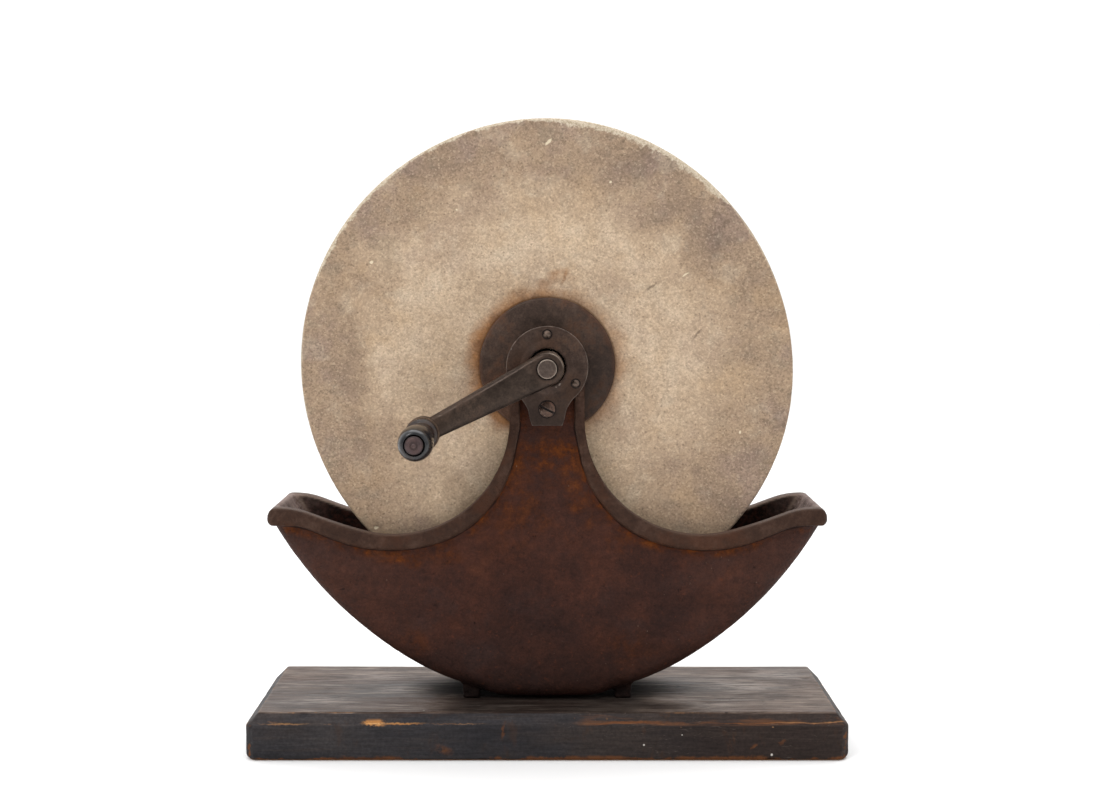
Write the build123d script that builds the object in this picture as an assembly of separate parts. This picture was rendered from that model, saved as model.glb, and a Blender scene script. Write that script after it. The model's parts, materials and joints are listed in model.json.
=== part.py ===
from build123d import *
import os
from math import sin, cos, radians, sqrt, atan2, asin

# Hand-cranked wet grindstone in a boat-shaped cast iron water trough, on a
# wooden base board.  Millimetres.  +Z is up, +X runs along the board and -Y is
# the crank's side.  The origin is the centre of the board's underside, and
# Y = 0 is the middle plane of the stone.  The front and the back of the trough
# and the bearings are mirror images about Y = 0.

# ---- driving dimensions -----------------------------------------------------
# base board
BOARD_L, BOARD_W, BOARD_T = 366.2, 142.0, 28.0
BOARD_CHAMFER = 7.2
BOARD_CORNER_R = 8.0
BOARD_FOOT_R = 1.6

# grindstone
STONE_R, STONE_T = 152.5, 45.0
STONE_EDGE_R = 2.6
EYE = 31.0                     # side of the square eye
AXLE_Z = 236.8                 # height of the axle

# trough: the hull's side view is three tangent arcs
HULL_R1, HULL_R2, HULL_PHI = 168.0, 240.0, 32.0
HULL_Z0 = 29.0                 # lowest point of the hull
HULL_HALF = 36.0               # outer face of the side walls
WALL_IN = 30.5                 # inner face of the side walls
HULL_EDGE_R = 11.0             # rounding between side walls and bottom
SHELL_T = 8.0                  # thickness of the curved bottom and ends
RIM_HALF = 41.0                # front face of the rim
RIM_ROUND = 1.5
RIM_CORNER_R = 5.0             # rim corner in plan
NECK_HALF = 23.0               # half-width of the neck
NECK_TOP = 244.0
ARC_C, ARC_R = (95.2, 204.8), 72.2     # hollow curve from neck to valley
CREST = (167.5, 149.6)         # highest point of the horn
TIP_X, TIP_Z = 173.0, 142.2    # outermost point of the rim
LIP_Z = 138.5                  # underside of the rim at the ends
FOOT_X, FOOT_Y, FOOT_L, FOOT_W = 47.5, 23.5, 11.0, 10.0
SEAT_R = 18.1                  # open notch that the bearing cup sits in
PAD_HALF = 8.0                 # screw pad behind the bearing plate's tail

# bearing: loose balls between a pressed cup and a cone on the axle
BALL_R, BALL_N, PITCH_R = 3.175, 12, 13.0
BALL_Y = 37.5                  # distance of the ball ring from the mid plane
RACE_R = 3.30
CUP_R, CUP_BACK, CUP_FLANGE_R = 18.0, 32.5, 22.6
CUP_FACE, PLATE_BACK, PLATE_FACE = 41.0, 42.5, 45.0
PLATE_R, PLATE_HOLE_R = 25.1, 11.4
TAIL_HALF, TAIL_BOTTOM = 9.3, 201.0
RIVET_PCR, RIVET_R, RIVET_HEAD_R, RIVET_HEAD_H = 20.0, 1.5, 2.45, 1.5
PLATE_SCREW_Z, PLATE_SCREW_R, PLATE_SCREW_HEAD_R = 211.1, 2.4, 4.9
PLATE_SLOT_DEG = -28.0

# axle and stone clamping
SQ_HALF = 10.0                 # half side of the axle's square
THREAD_R = 9.9
JOURNAL_R = 8.0
STUB_R = 5.95
AXLE_FRONT, AXLE_REAR = 66.9, 50.0
FLANGE_R, FLANGE_T = 42.0, 4.9
NUT_AF, NUT_T = 30.0, 3.7

# crank
HUB_R, HUB_BACK, HUB_FACE = 10.3, 48.0, 66.0
ARM_BACK = 57.0
ARM_ROUND_FRONT, ARM_ROUND_BACK = 3.0, 1.8
PIN_X, PIN_Z = -74.7, 197.9    # handle spindle
EYE_R, EYE_BACK, EYE_FACE = 10.2, 56.0, 67.0
ARM_W_EYE = 12.4               # width of the arm where it enters the eye

# handle
SPINDLE_R = 3.6
SPINDLE_HEAD_R = 5.3
GRIP_BACK, GRIP_END = 68.9, 134.6
GRIP_BORE = 3.66
FIT = 0.03                     # clearance between pieces fixed to each other

os.makedirs("parts", exist_ok=True)


# ---- helpers ----------------------------------------------------------------
def save(shape, name):
    """Write one node; several separate solids become one compound."""
    if isinstance(shape, (list, tuple)):
        solids = []
        for s in shape:
            solids += list(s.solids())
    else:
        solids = list(shape.solids())
    out = solids[0] if len(solids) == 1 else Compound(children=solids)
    out.label = name
    export_step(out, f"parts/{name}.step")


def face_xz(wire_edges):
    """Face in the XZ plane from edges given in 3-D with y = 0."""
    return make_face(Wire(wire_edges).edges())


def slab(face, y0, y1):
    """Solid between the planes y0 and y1 over an XZ-plane face at y = 0."""
    s = extrude(face, amount=y1 - y0, dir=(0, 1, 0))
    return Pos(0, y0, 0) * s


def cyl(r, d0, d1, x=0.0, z=AXLE_Z):
    """Cylinder along Y from distance d0 to d1 in front of the mid plane."""
    return Pos(x, -(d0 + d1) / 2, z) * (Rot(90, 0, 0) * Cylinder(r, abs(d1 - d0)))


def turned(points, x=0.0, z=AXLE_Z):
    """Solid of revolution about the line parallel to Y through (x, z).
    points are (radius, d), or ("arc", (radius, d) middle, (radius, d) end)."""
    def p(rd):
        return (rd[0], -rd[1], 0)
    edges, last = [], points[0]
    for q in points[1:] + [points[0]]:
        if q[0] == "arc":
            edges.append(ThreePointArc(p(last), p(q[1]), p(q[2])))
            last = q[2]
        else:
            if abs(q[0] - last[0]) + abs(q[1] - last[1]) > 1e-9:
                edges.append(Line(p(last), p(q)))
            last = q
    f = make_face(Wire(edges).edges())
    return Pos(x, 0, z) * revolve(f, Axis.Y, 360)


def both(shape):
    """The mirror image about the stone's middle plane."""
    return mirror(shape, about=Plane.XZ)


def V(x, z):
    return (x, 0, z)


# ---- base board -------------------------------------------------------------
board = Box(BOARD_L, BOARD_W, BOARD_T, align=(Align.CENTER, Align.CENTER, Align.MIN))
board = fillet(board.edges().filter_by(Axis.Z), BOARD_CORNER_R)
board = chamfer(board.faces().sort_by(Axis.Z)[-1].edges(), BOARD_CHAMFER)
board = fillet(board.faces().sort_by(Axis.Z)[0].edges(), BOARD_FOOT_R)
screw_at = [(sx * FOOT_X, sy * FOOT_Y) for sx in (-1, 1) for sy in (-1, 1)]
for sx, sy in screw_at:
    board -= Pos(sx, sy, 0) * Cylinder(6.2, 7.0, align=(Align.CENTER, Align.CENTER, Align.MIN))
    board -= Pos(sx, sy, 0) * Cylinder(2.3, BOARD_T, align=(Align.CENTER, Align.CENTER, Align.MIN))
save(board, "base_board")

# ---- trough -----------------------------------------------------------------
phi = radians(HULL_PHI)
c1z = HULL_Z0 + HULL_R1
jx, jz = HULL_R1 * sin(phi), c1z - HULL_R1 * cos(phi)
c2x, c2z = jx - HULL_R2 * sin(phi), jz + HULL_R2 * cos(phi)


def hull_face(off, x_lim_deg=90.0):
    """Side view of the hull, moved inwards by off, closed by a flat top."""
    r1, r2 = HULL_R1 - off, HULL_R2 - off
    jx1, jz1 = r1 * sin(phi), c1z - r1 * cos(phi)
    end = (c2x + r2, c2z)
    a = radians((HULL_PHI + x_lim_deg) / 2)
    mid = (c2x + r2 * sin(a), c2z - r2 * cos(a))
    e = [ThreePointArc(V(-end[0], end[1]), V(-mid[0], mid[1]), V(-jx1, jz1)),
         ThreePointArc(V(-jx1, jz1), V(0, c1z - r1), V(jx1, jz1)),
         ThreePointArc(V(jx1, jz1), V(*mid), V(*end)),
         Line(V(*end), V(-end[0], end[1]))]
    return make_face(Wire(e).edges())


def boat(off, half, edge_r):
    s = slab(hull_face(off), -half, half)
    low = [e for e in s.edges() if abs(abs(e.center().Y) - half) < 1e-6
           and e.geom_type == GeomType.CIRCLE]
    return fillet(low, edge_r)


def horn():
    """Upper edge of the rim on the +X side, from the neck to the tip."""
    valley = (ARC_C[0], ARC_C[1] - ARC_R)
    a = radians(225)
    amid = (ARC_C[0] + ARC_R * cos(a), ARC_C[1] + ARC_R * sin(a))
    r1 = TIP_X - CREST[0]
    r2 = TIP_Z - LIP_Z
    return [
        Line(V(NECK_HALF, NECK_TOP), V(NECK_HALF, ARC_C[1])),
        ThreePointArc(V(NECK_HALF, ARC_C[1]), V(*amid), V(*valley)),
        Spline(V(*valley), V(118, 136.2), V(143, 144.5), V(*CREST),
               tangents=[(1, 0, 0), (1, 0, 0)]),
        Spline(V(*CREST),
               V(CREST[0] + r1 * sin(radians(45)), TIP_Z + (CREST[1] - TIP_Z) * cos(radians(45))),
               V(TIP_X, TIP_Z), tangents=[(1, 0, 0), (0, 0, -1)]),
        ThreePointArc(V(TIP_X, TIP_Z),
                      V(TIP_X - r2 + r2 * cos(radians(-45)), TIP_Z + r2 * sin(radians(-45))),
                      V(TIP_X - r2, LIP_Z)),
    ]


def band_face():
    low = Spline(V(158, LIP_Z), V(146, 135.9), V(134, 130.9), V(121.5, 126.6),
                 V(109, 124.1), V(95, 123.4), V(76, 125.5), V(58, 131.6),
                 V(46, 139.2), V(32.4, 153.6), V(21.6, 176.5), V(17.2, 198.0),
                 V(16.8, 206.0),
                 tangents=[(-1, 0, 0), (0, 0, 1)])
    e = horn() + [Line(V(TIP_X - (TIP_Z - LIP_Z), LIP_Z), V(158, LIP_Z)), low,
                  Line(V(16.8, 206.0), V(16.8, NECK_TOP)),
                  Line(V(16.8, NECK_TOP), V(NECK_HALF, NECK_TOP))]
    return make_face(Wire(e).edges())


def under_face():
    """Everything below the rim's upper edge, +X side."""
    e = horn()[:4] + [Line(V(TIP_X, TIP_Z), V(TIP_X, 0)), Line(V(TIP_X, 0), V(0, 0)),
                      Line(V(0, 0), V(0, NECK_TOP)), Line(V(0, NECK_TOP), V(NECK_HALF, NECK_TOP))]
    return make_face(Wire(e).edges())


under = slab(under_face(), -HULL_HALF - 5, HULL_HALF + 5)
under = under + mirror(under, about=Plane.YZ)
hull = boat(0, HULL_HALF, HULL_EDGE_R) & under

band = slab(band_face(), -RIM_HALF, RIM_HALF)
band = fillet([e for e in band.edges() if abs(abs(e.center().Y) - RIM_HALF) < 0.01], RIM_ROUND)
band = band & extrude(RectangleRounded(2 * TIP_X, 2 * RIM_HALF, RIM_CORNER_R), amount=400)
band = band + mirror(band, about=Plane.YZ)

cavity = boat(SHELL_T, WALL_IN, 6.0)

trough = (hull + band) - cavity

# screw pads on the necks, stepped for the cup's flange
for sy in (-1, 1):
    pad = Pos(0, sy * (HULL_HALF - 1 + PLATE_BACK) / 2, (TAIL_BOTTOM + 1.2 + 213.7) / 2) * \
        Box(2 * PAD_HALF, PLATE_BACK - HULL_HALF + 1, 213.7 - TAIL_BOTTOM - 1.2)
    pad2 = Pos(0, sy * (HULL_HALF - 1 + CUP_FACE) / 2, 216.0) * \
        Box(2 * PAD_HALF, CUP_FACE - HULL_HALF + 1, 12.0)
    pad = fillet((pad + pad2).edges().filter_by(Axis.Y), 1.5)
    trough += pad

# feet
for sx, sy in screw_at:
    foot = Pos(sx, sy, BOARD_T) * Box(FOOT_L, FOOT_W, 12.0, align=(Align.CENTER, Align.CENTER, Align.MIN))
    foot = fillet(foot.edges().filter_by(Axis.Z), 2.0)
    trough += foot

# open notches for the bearing cups, screw holes
for sy in (-1, 1):
    y = sy * 36.0
    notch = Pos(0, y, AXLE_Z) * (Rot(90, 0, 0) * Cylinder(SEAT_R, 16))
    notch += Pos(0, y, AXLE_Z) * Box(2 * SEAT_R, 16, 60, align=(Align.CENTER, Align.CENTER, Align.MIN))
    trough -= notch
    trough -= Pos(0, sy * 38.5, PLATE_SCREW_Z) * (Rot(90, 0, 0) * Cylinder(PLATE_SCREW_R + FIT, 20))
for sx, sy in screw_at:
    trough -= Pos(sx, sy, BOARD_T - 1) * Cylinder(2.1 + FIT, 12.4, align=(Align.CENTER, Align.CENTER, Align.MIN))

save(trough, "trough")
print("trough", len(trough.solids()), trough.is_valid, round(trough.volume))

# ---- screws from under the board --------------------------------------------
screws = []
for sx, sy in screw_at:
    shank = Cylinder(2.1, 38.0 - 7.0, align=(Align.CENTER, Align.CENTER, Align.MIN))
    head = Cylinder(4.6, 2.8, align=(Align.CENTER, Align.CENTER, Align.MAX))
    head = fillet(head.edges().sort_by(Axis.Z)[0], 1.6)
    head -= Pos(0, 0, -2.8) * Box(12, 1.1, 2.6)
    washer = Cylinder(5.6, 0.9, align=(Align.CENTER, Align.CENTER, Align.MAX))
    s = Pos(sx, sy, 7.0) * (shank + Pos(0, 0, -0.9) * head + washer)
    screws.append(s)
save(screws, "trough_mounting_screws")

# ---- bearings ---------------------------------------------------------------
cup = turned([(CUP_R, CUP_BACK), (CUP_R, CUP_FACE), (CUP_FLANGE_R, CUP_FACE),
              (CUP_FLANGE_R, PLATE_BACK), (PLATE_HOLE_R, PLATE_BACK),
              (PLATE_HOLE_R, BALL_Y + RACE_R), (PITCH_R, BALL_Y + RACE_R),
              ("arc", (PITCH_R + RACE_R * sin(radians(45)), BALL_Y + RACE_R * cos(radians(45))),
               (PITCH_R + RACE_R, BALL_Y)),
              (PITCH_R + RACE_R, CUP_BACK)])
cone = turned([(JOURNAL_R + FIT, 43.0), (9.2, 43.0), (PITCH_R - RACE_R, 42.5),
               (PITCH_R - RACE_R, BALL_Y),
               ("arc", (PITCH_R - RACE_R * sin(radians(45)), BALL_Y - RACE_R * cos(radians(45))),
                (PITCH_R, BALL_Y - RACE_R)),
               (14.0, BALL_Y - RACE_R), (14.0, 31.5), (JOURNAL_R + FIT, 31.5)])

rivet_deg = (90.0, -30.0, -150.0)
rivets = []
for a in rivet_deg:
    rx, rz = RIVET_PCR * cos(radians(a)), RIVET_PCR * sin(radians(a))
    rr = (RIVET_HEAD_R ** 2 + RIVET_HEAD_H ** 2) / (2 * RIVET_HEAD_H)
    half = (rr * sin(0.5 * atan2(RIVET_HEAD_R, rr - RIVET_HEAD_H)),
            PLATE_FACE + RIVET_HEAD_H - rr + rr * cos(0.5 * atan2(RIVET_HEAD_R, rr - RIVET_HEAD_H)))
    rivets.append(turned([(0, CUP_FACE + 0.05), (RIVET_R, CUP_FACE + 0.05), (RIVET_R, PLATE_FACE),
                          (RIVET_HEAD_R, PLATE_FACE),
                          ("arc", half, (0, PLATE_FACE + RIVET_HEAD_H))],
                         x=rx, z=AXLE_Z + rz))
    hole = cyl(RIVET_R + FIT, CUP_FACE - 1, PLATE_BACK + 1, x=rx, z=AXLE_Z + rz)
    cup -= hole

# keyhole-shaped plate: a dished disc with a tail
tail = [Line(V(-TAIL_HALF, TAIL_BOTTOM), V(TAIL_HALF, TAIL_BOTTOM)),
        Line(V(TAIL_HALF, TAIL_BOTTOM), V(10.8, 205.6)),
        Spline(V(10.8, 205.6), V(11.9, 210.8), V(15.6, 216.9), V(21.2, 223.2),
               tangents=[(0.18, 0, 1), (1, 0, 1.0)]),
        Line(V(21.2, 223.2), V(12.0, AXLE_Z)),
        Line(V(12.0, AXLE_Z), V(-12.0, AXLE_Z)),
        Line(V(-12.0, AXLE_Z), V(-21.2, 223.2)),
        Spline(V(-21.2, 223.2), V(-15.6, 216.9), V(-11.9, 210.8), V(-10.8, 205.6),
               tangents=[(1, 0, -1.0), (0.18, 0, -1)]),
        Line(V(-10.8, 205.6), V(-TAIL_HALF, TAIL_BOTTOM))]
plate = slab(make_face(Wire(tail).edges()), -PLATE_FACE, -PLATE_BACK)
plate += cyl(PLATE_R, PLATE_BACK, PLATE_FACE)
plate = fillet([e for e in plate.edges()
                if abs(e.center().Y + PLATE_FACE) < 1e-6 or
                (abs(e.bounding_box().min.Y + PLATE_FACE) < 1e-6 and abs(e.bounding_box().max.Y + PLATE_FACE) < 1e-6)], 0.5)
# shallow raised ring round the hole
plate += turned([(PLATE_HOLE_R, PLATE_FACE - 0.5), (16.8, PLATE_FACE - 0.5), (16.2, PLATE_FACE + 0.12),
                 ("arc", (13.8, PLATE_FACE + 0.62), (PLATE_HOLE_R + 0.6, PLATE_FACE + 0.8)),
                 (PLATE_HOLE_R, PLATE_FACE + 0.5)])
plate -= cyl(PLATE_HOLE_R, PLATE_BACK - 1, PLATE_FACE + 3)
for a in rivet_deg:
    rx, rz = RIVET_PCR * cos(radians(a)), RIVET_PCR * sin(radians(a))
    plate -= cyl(RIVET_R + FIT, PLATE_BACK - 1, PLATE_FACE + 1, x=rx, z=AXLE_Z + rz)
plate -= cyl(PLATE_SCREW_R + 0.1, PLATE_BACK - 1, PLATE_FACE + 1, z=PLATE_SCREW_Z)


def plate_screw(slot_deg):
    h = 2.7
    rr = (PLATE_SCREW_HEAD_R ** 2 + (h - 0.9) ** 2) / (2 * (h - 0.9))
    t = 0.5 * atan2(PLATE_SCREW_HEAD_R, rr - (h - 0.9))
    mid = (rr * sin(t), PLATE_FACE + h - rr + rr * cos(t))
    s = turned([(0, 31.2), (PLATE_SCREW_R - 0.6, 31.2), (PLATE_SCREW_R, 31.9), (PLATE_SCREW_R, PLATE_FACE),
                (PLATE_SCREW_HEAD_R, PLATE_FACE), (PLATE_SCREW_HEAD_R, PLATE_FACE + 0.9),
                ("arc", mid, (0, PLATE_FACE + h))], z=PLATE_SCREW_Z)
    slot = Pos(0, -(PLATE_FACE + h), PLATE_SCREW_Z) * (Rot(0, -slot_deg, 0) * Box(14, 2.6, 1.25))
    return s - slot


balls = [Pos(PITCH_R * cos(radians(15 + 360 * i / BALL_N)), -BALL_Y,
             AXLE_Z + PITCH_R * sin(radians(15 + 360 * i / BALL_N))) * Sphere(BALL_R)
         for i in range(BALL_N)]

save(plate, "front_bearing_plate")
save(cup, "front_bearing_cup")
save(cone, "front_bearing_cone")
save(rivets, "front_plate_rivets")
save(plate_screw(PLATE_SLOT_DEG), "front_plate_screw")
save(balls, "front_bearing_balls")
save(both(plate), "rear_bearing_plate")
save(both(cup), "rear_bearing_cup")
save(both(cone), "rear_bearing_cone")
save([both(r) for r in rivets], "rear_plate_rivets")
save(both(plate_screw(12.0)), "rear_plate_screw")
save([both(b) for b in balls], "rear_bearing_balls")

# ---- grindstone -------------------------------------------------------------
stone = cyl(STONE_R, -STONE_T / 2, STONE_T / 2)
stone = fillet(stone.edges(), STONE_EDGE_R)
stone -= Pos(0, 0, AXLE_Z) * Box(EYE, STONE_T + 2, EYE)
save(stone, "grindstone")

wedge_t = (EYE / 2 - SQ_HALF) - 2 * FIT
wedges = []
for k in range(4):
    w = [(-STONE_T / 2 + 0.8, SQ_HALF + FIT), (STONE_T / 2 - 0.8, SQ_HALF + FIT),
         (STONE_T / 2 - 0.8, SQ_HALF + FIT + wedge_t - 0.5), (-STONE_T / 2 + 0.8, SQ_HALF + FIT + wedge_t)]
    f = make_face(Polyline(*[(0, -d if k % 2 else d, h) for d, h in w], close=True).edges())
    wd = extrude(f, amount=7.5, dir=(1, 0, 0), both=True)
    wedges.append(Pos(0, 0, AXLE_Z) * (Rot(0, 90 * k, 0) * wd))
save(wedges, "eye_wedges")

# ---- axle, flanges and nut --------------------------------------------------
axle = Pos(0, 0, AXLE_Z) * Box(2 * SQ_HALF, STONE_T - 0.6, 2 * SQ_HALF)
axle &= cyl(13.2, -30, 30)
axle += cyl(THREAD_R, 20, 31.3)
axle += cyl(JOURNAL_R, 30, 47.4)
stub = cyl(STUB_R, 45, AXLE_FRONT)
stub = fillet(stub.edges().sort_by(Axis.Y)[0], 0.9)
axle += stub
axle += cyl(THREAD_R, -20, -28)
axle += cyl(12.5, -27.6, -31.4)
tailend = cyl(JOURNAL_R, -30, -AXLE_REAR)
tailend = chamfer(tailend.edges().sort_by(Axis.Y)[-1], 1.2)
axle += tailend
pin_a = 62.5                                     # direction of the crank's key pin
pin_hole = Pos(0, -52.5, AXLE_Z) * (Rot(0, -(pin_a - 90), 0) * Cylinder(2.0 + FIT, 40))
axle -= pin_hole
save(axle, "axle")

flange = cyl(FLANGE_R, STONE_T / 2 + 0.03, STONE_T / 2 + 0.03 + FLANGE_T)
flange = fillet(flange.edges().sort_by(Axis.Y)[0], 1.4)
save(flange - cyl(THREAD_R + FIT, 0, 40), "front_flange")
save(both(flange - cyl(THREAD_R + FIT, 0, 40)), "rear_flange")

nut = extrude(Plane(origin=(0, -27.5, AXLE_Z), z_dir=(0, -1, 0)) *
              RegularPolygon(NUT_AF / 2, 6, major_radius=False), amount=NUT_T)
nut &= turned([(0, 27), (17.4, 27), (17.4, 30.4), (16.2, 31.3), (0, 31.3)])
nut -= cyl(THREAD_R + FIT, 20, 40)
save(nut, "flange_nut")

# ---- crank ------------------------------------------------------------------
dx, dz = PIN_X, PIN_Z - AXLE_Z
L = sqrt(dx * dx + dz * dz)
ux, uz = dx / L, dz / L
nx, nz = -uz, ux


def along(t, s):
    return (ux * t + nx * s, AXLE_Z + uz * t + nz * s)


def at(t, s):
    return V(*along(t, s))


# the arm's outline: the hub circle and two tangents that run into the eye
r_end = ARM_W_EYE / 2
g = asin((HUB_R - r_end) / L)
p1, q1 = at(HUB_R * sin(g), HUB_R * cos(g)), at(L + r_end * sin(g), r_end * cos(g))
p2, q2 = at(HUB_R * sin(g), -HUB_R * cos(g)), at(L + r_end * sin(g), -r_end * cos(g))
outline = [Line(p1, q1), Line(q1, q2), Line(q2, p2), ThreePointArc(p2, at(-HUB_R, 0), p1)]
arm = slab(make_face(Wire(outline).edges()), -HUB_FACE, -ARM_BACK)
arm = fillet([e for e in arm.edges() if abs(e.center().Y + HUB_FACE) < 1e-6
              and not (e.geom_type == GeomType.LINE and e.length < 15)], ARM_ROUND_FRONT)
arm = fillet([e for e in arm.edges() if abs(e.center().Y + ARM_BACK) < 1e-6
              and e.geom_type == GeomType.LINE and e.length > 15], ARM_ROUND_BACK)
hub = cyl(HUB_R, HUB_BACK, ARM_BACK + 3)
hub = chamfer(hub.edges().sort_by(Axis.Y)[-1], 0.8)
eye = cyl(EYE_R, EYE_BACK, EYE_FACE, x=PIN_X, z=PIN_Z)
eye = fillet(eye.edges().sort_by(Axis.Y)[0], 1.3)
eye = fillet(eye.edges().sort_by(Axis.Y)[-1], 0.9)
crank = arm + hub + eye
crank -= cyl(STUB_R + FIT, 40, 80)
crank -= cyl(SPINDLE_R + 0.03, 40, 80, x=PIN_X, z=PIN_Z)
crank -= pin_hole
save(crank, "crank_arm")

key = Pos(0, -52.5, AXLE_Z) * (Rot(0, -(pin_a - 90), 0) * fillet(Cylinder(2.0, 21.0).edges(), 0.5))
save(key, "crank_key_pin")

# ---- handle -----------------------------------------------------------------
spindle = turned([(0, 54.0), (4.4, 54.0), ("arc", (5.9, 54.6), (6.5, 55.97)), (SPINDLE_R, 55.97),
                  (SPINDLE_R, 132.4), (SPINDLE_HEAD_R, 132.4), (SPINDLE_HEAD_R, 135.8),
                  ("arc", (4.2, 136.75), (1.5, 137.15)), (1.1, 137.75), (0, 137.9)],
                 x=PIN_X, z=PIN_Z)
save(spindle, "handle_spindle")

washer = turned([(SPINDLE_R + 0.05, 67.03), (9.9, 67.03), ("arc", (10.35, 67.75), (9.9, 68.5)), (SPINDLE_R + 0.05, 68.5)],
                x=PIN_X, z=PIN_Z)
save(washer, "handle_washer")

# turned grip: bead ring at the arm, waist, and a bulb at the free end
gp = [(7.4, 75.3), (6.95, 80.0), (6.95, 86.0), (7.7, 95.0), (8.8, 104.0), (9.8, 112.0), (10.25, 119.5),
      (9.95, 127.0), (8.85, 132.1)]
prof = [Line((GRIP_BORE, -GRIP_BACK, 0), (8.8, -GRIP_BACK, 0)),
        ThreePointArc((8.8, -GRIP_BACK, 0), (9.9, -71.3, 0), (8.9, -73.7, 0)),
        ThreePointArc((8.9, -73.7, 0), (7.9, -74.3, 0), (gp[0][0], -gp[0][1], 0)),
        Spline(*[(r, -d, 0) for r, d in gp], tangents=[(-0.25, -1, 0), (-0.45, -1, 0)]),
        ThreePointArc((gp[-1][0], -gp[-1][1], 0), (7.7, -133.9, 0), (6.5, -GRIP_END, 0)),
        Line((6.5, -GRIP_END, 0), (6.0, -GRIP_END, 0)),
        Line((6.0, -GRIP_END, 0), (6.0, -132.1, 0)),
        Line((6.0, -132.1, 0), (GRIP_BORE, -132.1, 0)),
        Line((GRIP_BORE, -132.1, 0), (GRIP_BORE, -GRIP_BACK, 0))]
grip = Pos(PIN_X, 0, PIN_Z) * revolve(make_face(Wire(prof).edges()), Axis.Y, 360)
save(grip, "handle_grip")
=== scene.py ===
import bpy
import bmesh
import json
import math
import numpy as np
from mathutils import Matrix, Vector, noise as mnoise


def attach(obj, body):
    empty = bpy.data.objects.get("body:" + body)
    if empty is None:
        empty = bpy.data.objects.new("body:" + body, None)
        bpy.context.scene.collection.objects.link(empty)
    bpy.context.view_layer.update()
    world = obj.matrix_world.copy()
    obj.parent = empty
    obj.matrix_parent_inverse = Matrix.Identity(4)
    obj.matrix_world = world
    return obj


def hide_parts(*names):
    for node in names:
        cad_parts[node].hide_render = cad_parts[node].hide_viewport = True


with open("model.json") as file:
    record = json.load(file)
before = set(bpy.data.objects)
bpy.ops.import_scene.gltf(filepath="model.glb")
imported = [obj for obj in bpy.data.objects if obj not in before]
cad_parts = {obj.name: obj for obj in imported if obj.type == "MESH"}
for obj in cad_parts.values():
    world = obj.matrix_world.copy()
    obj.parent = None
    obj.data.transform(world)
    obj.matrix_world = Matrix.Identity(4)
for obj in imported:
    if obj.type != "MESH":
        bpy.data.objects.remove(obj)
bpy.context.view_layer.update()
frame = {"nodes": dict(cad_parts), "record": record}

NODES = frame["nodes"]
REC = frame["record"]
BODY_OF = {n: b for b, ns in REC["behaviour"]["bodies"].items() for n in ns}
SLOT_OF = {s["node"]: s["material_slot"] for s in REC["subparts"]}
ZC = 0.2368                      # axle height
PX, PZ = -0.0747, 0.1979         # handle spindle


def srgb(r, g, b):
    """8-bit sRGB to a linear colour."""
    def f(v):
        v /= 255.0
        return v / 12.92 if v <= 0.04045 else ((v + 0.055) / 1.055) ** 2.4
    return (f(r), f(g), f(b), 1.0)


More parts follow.
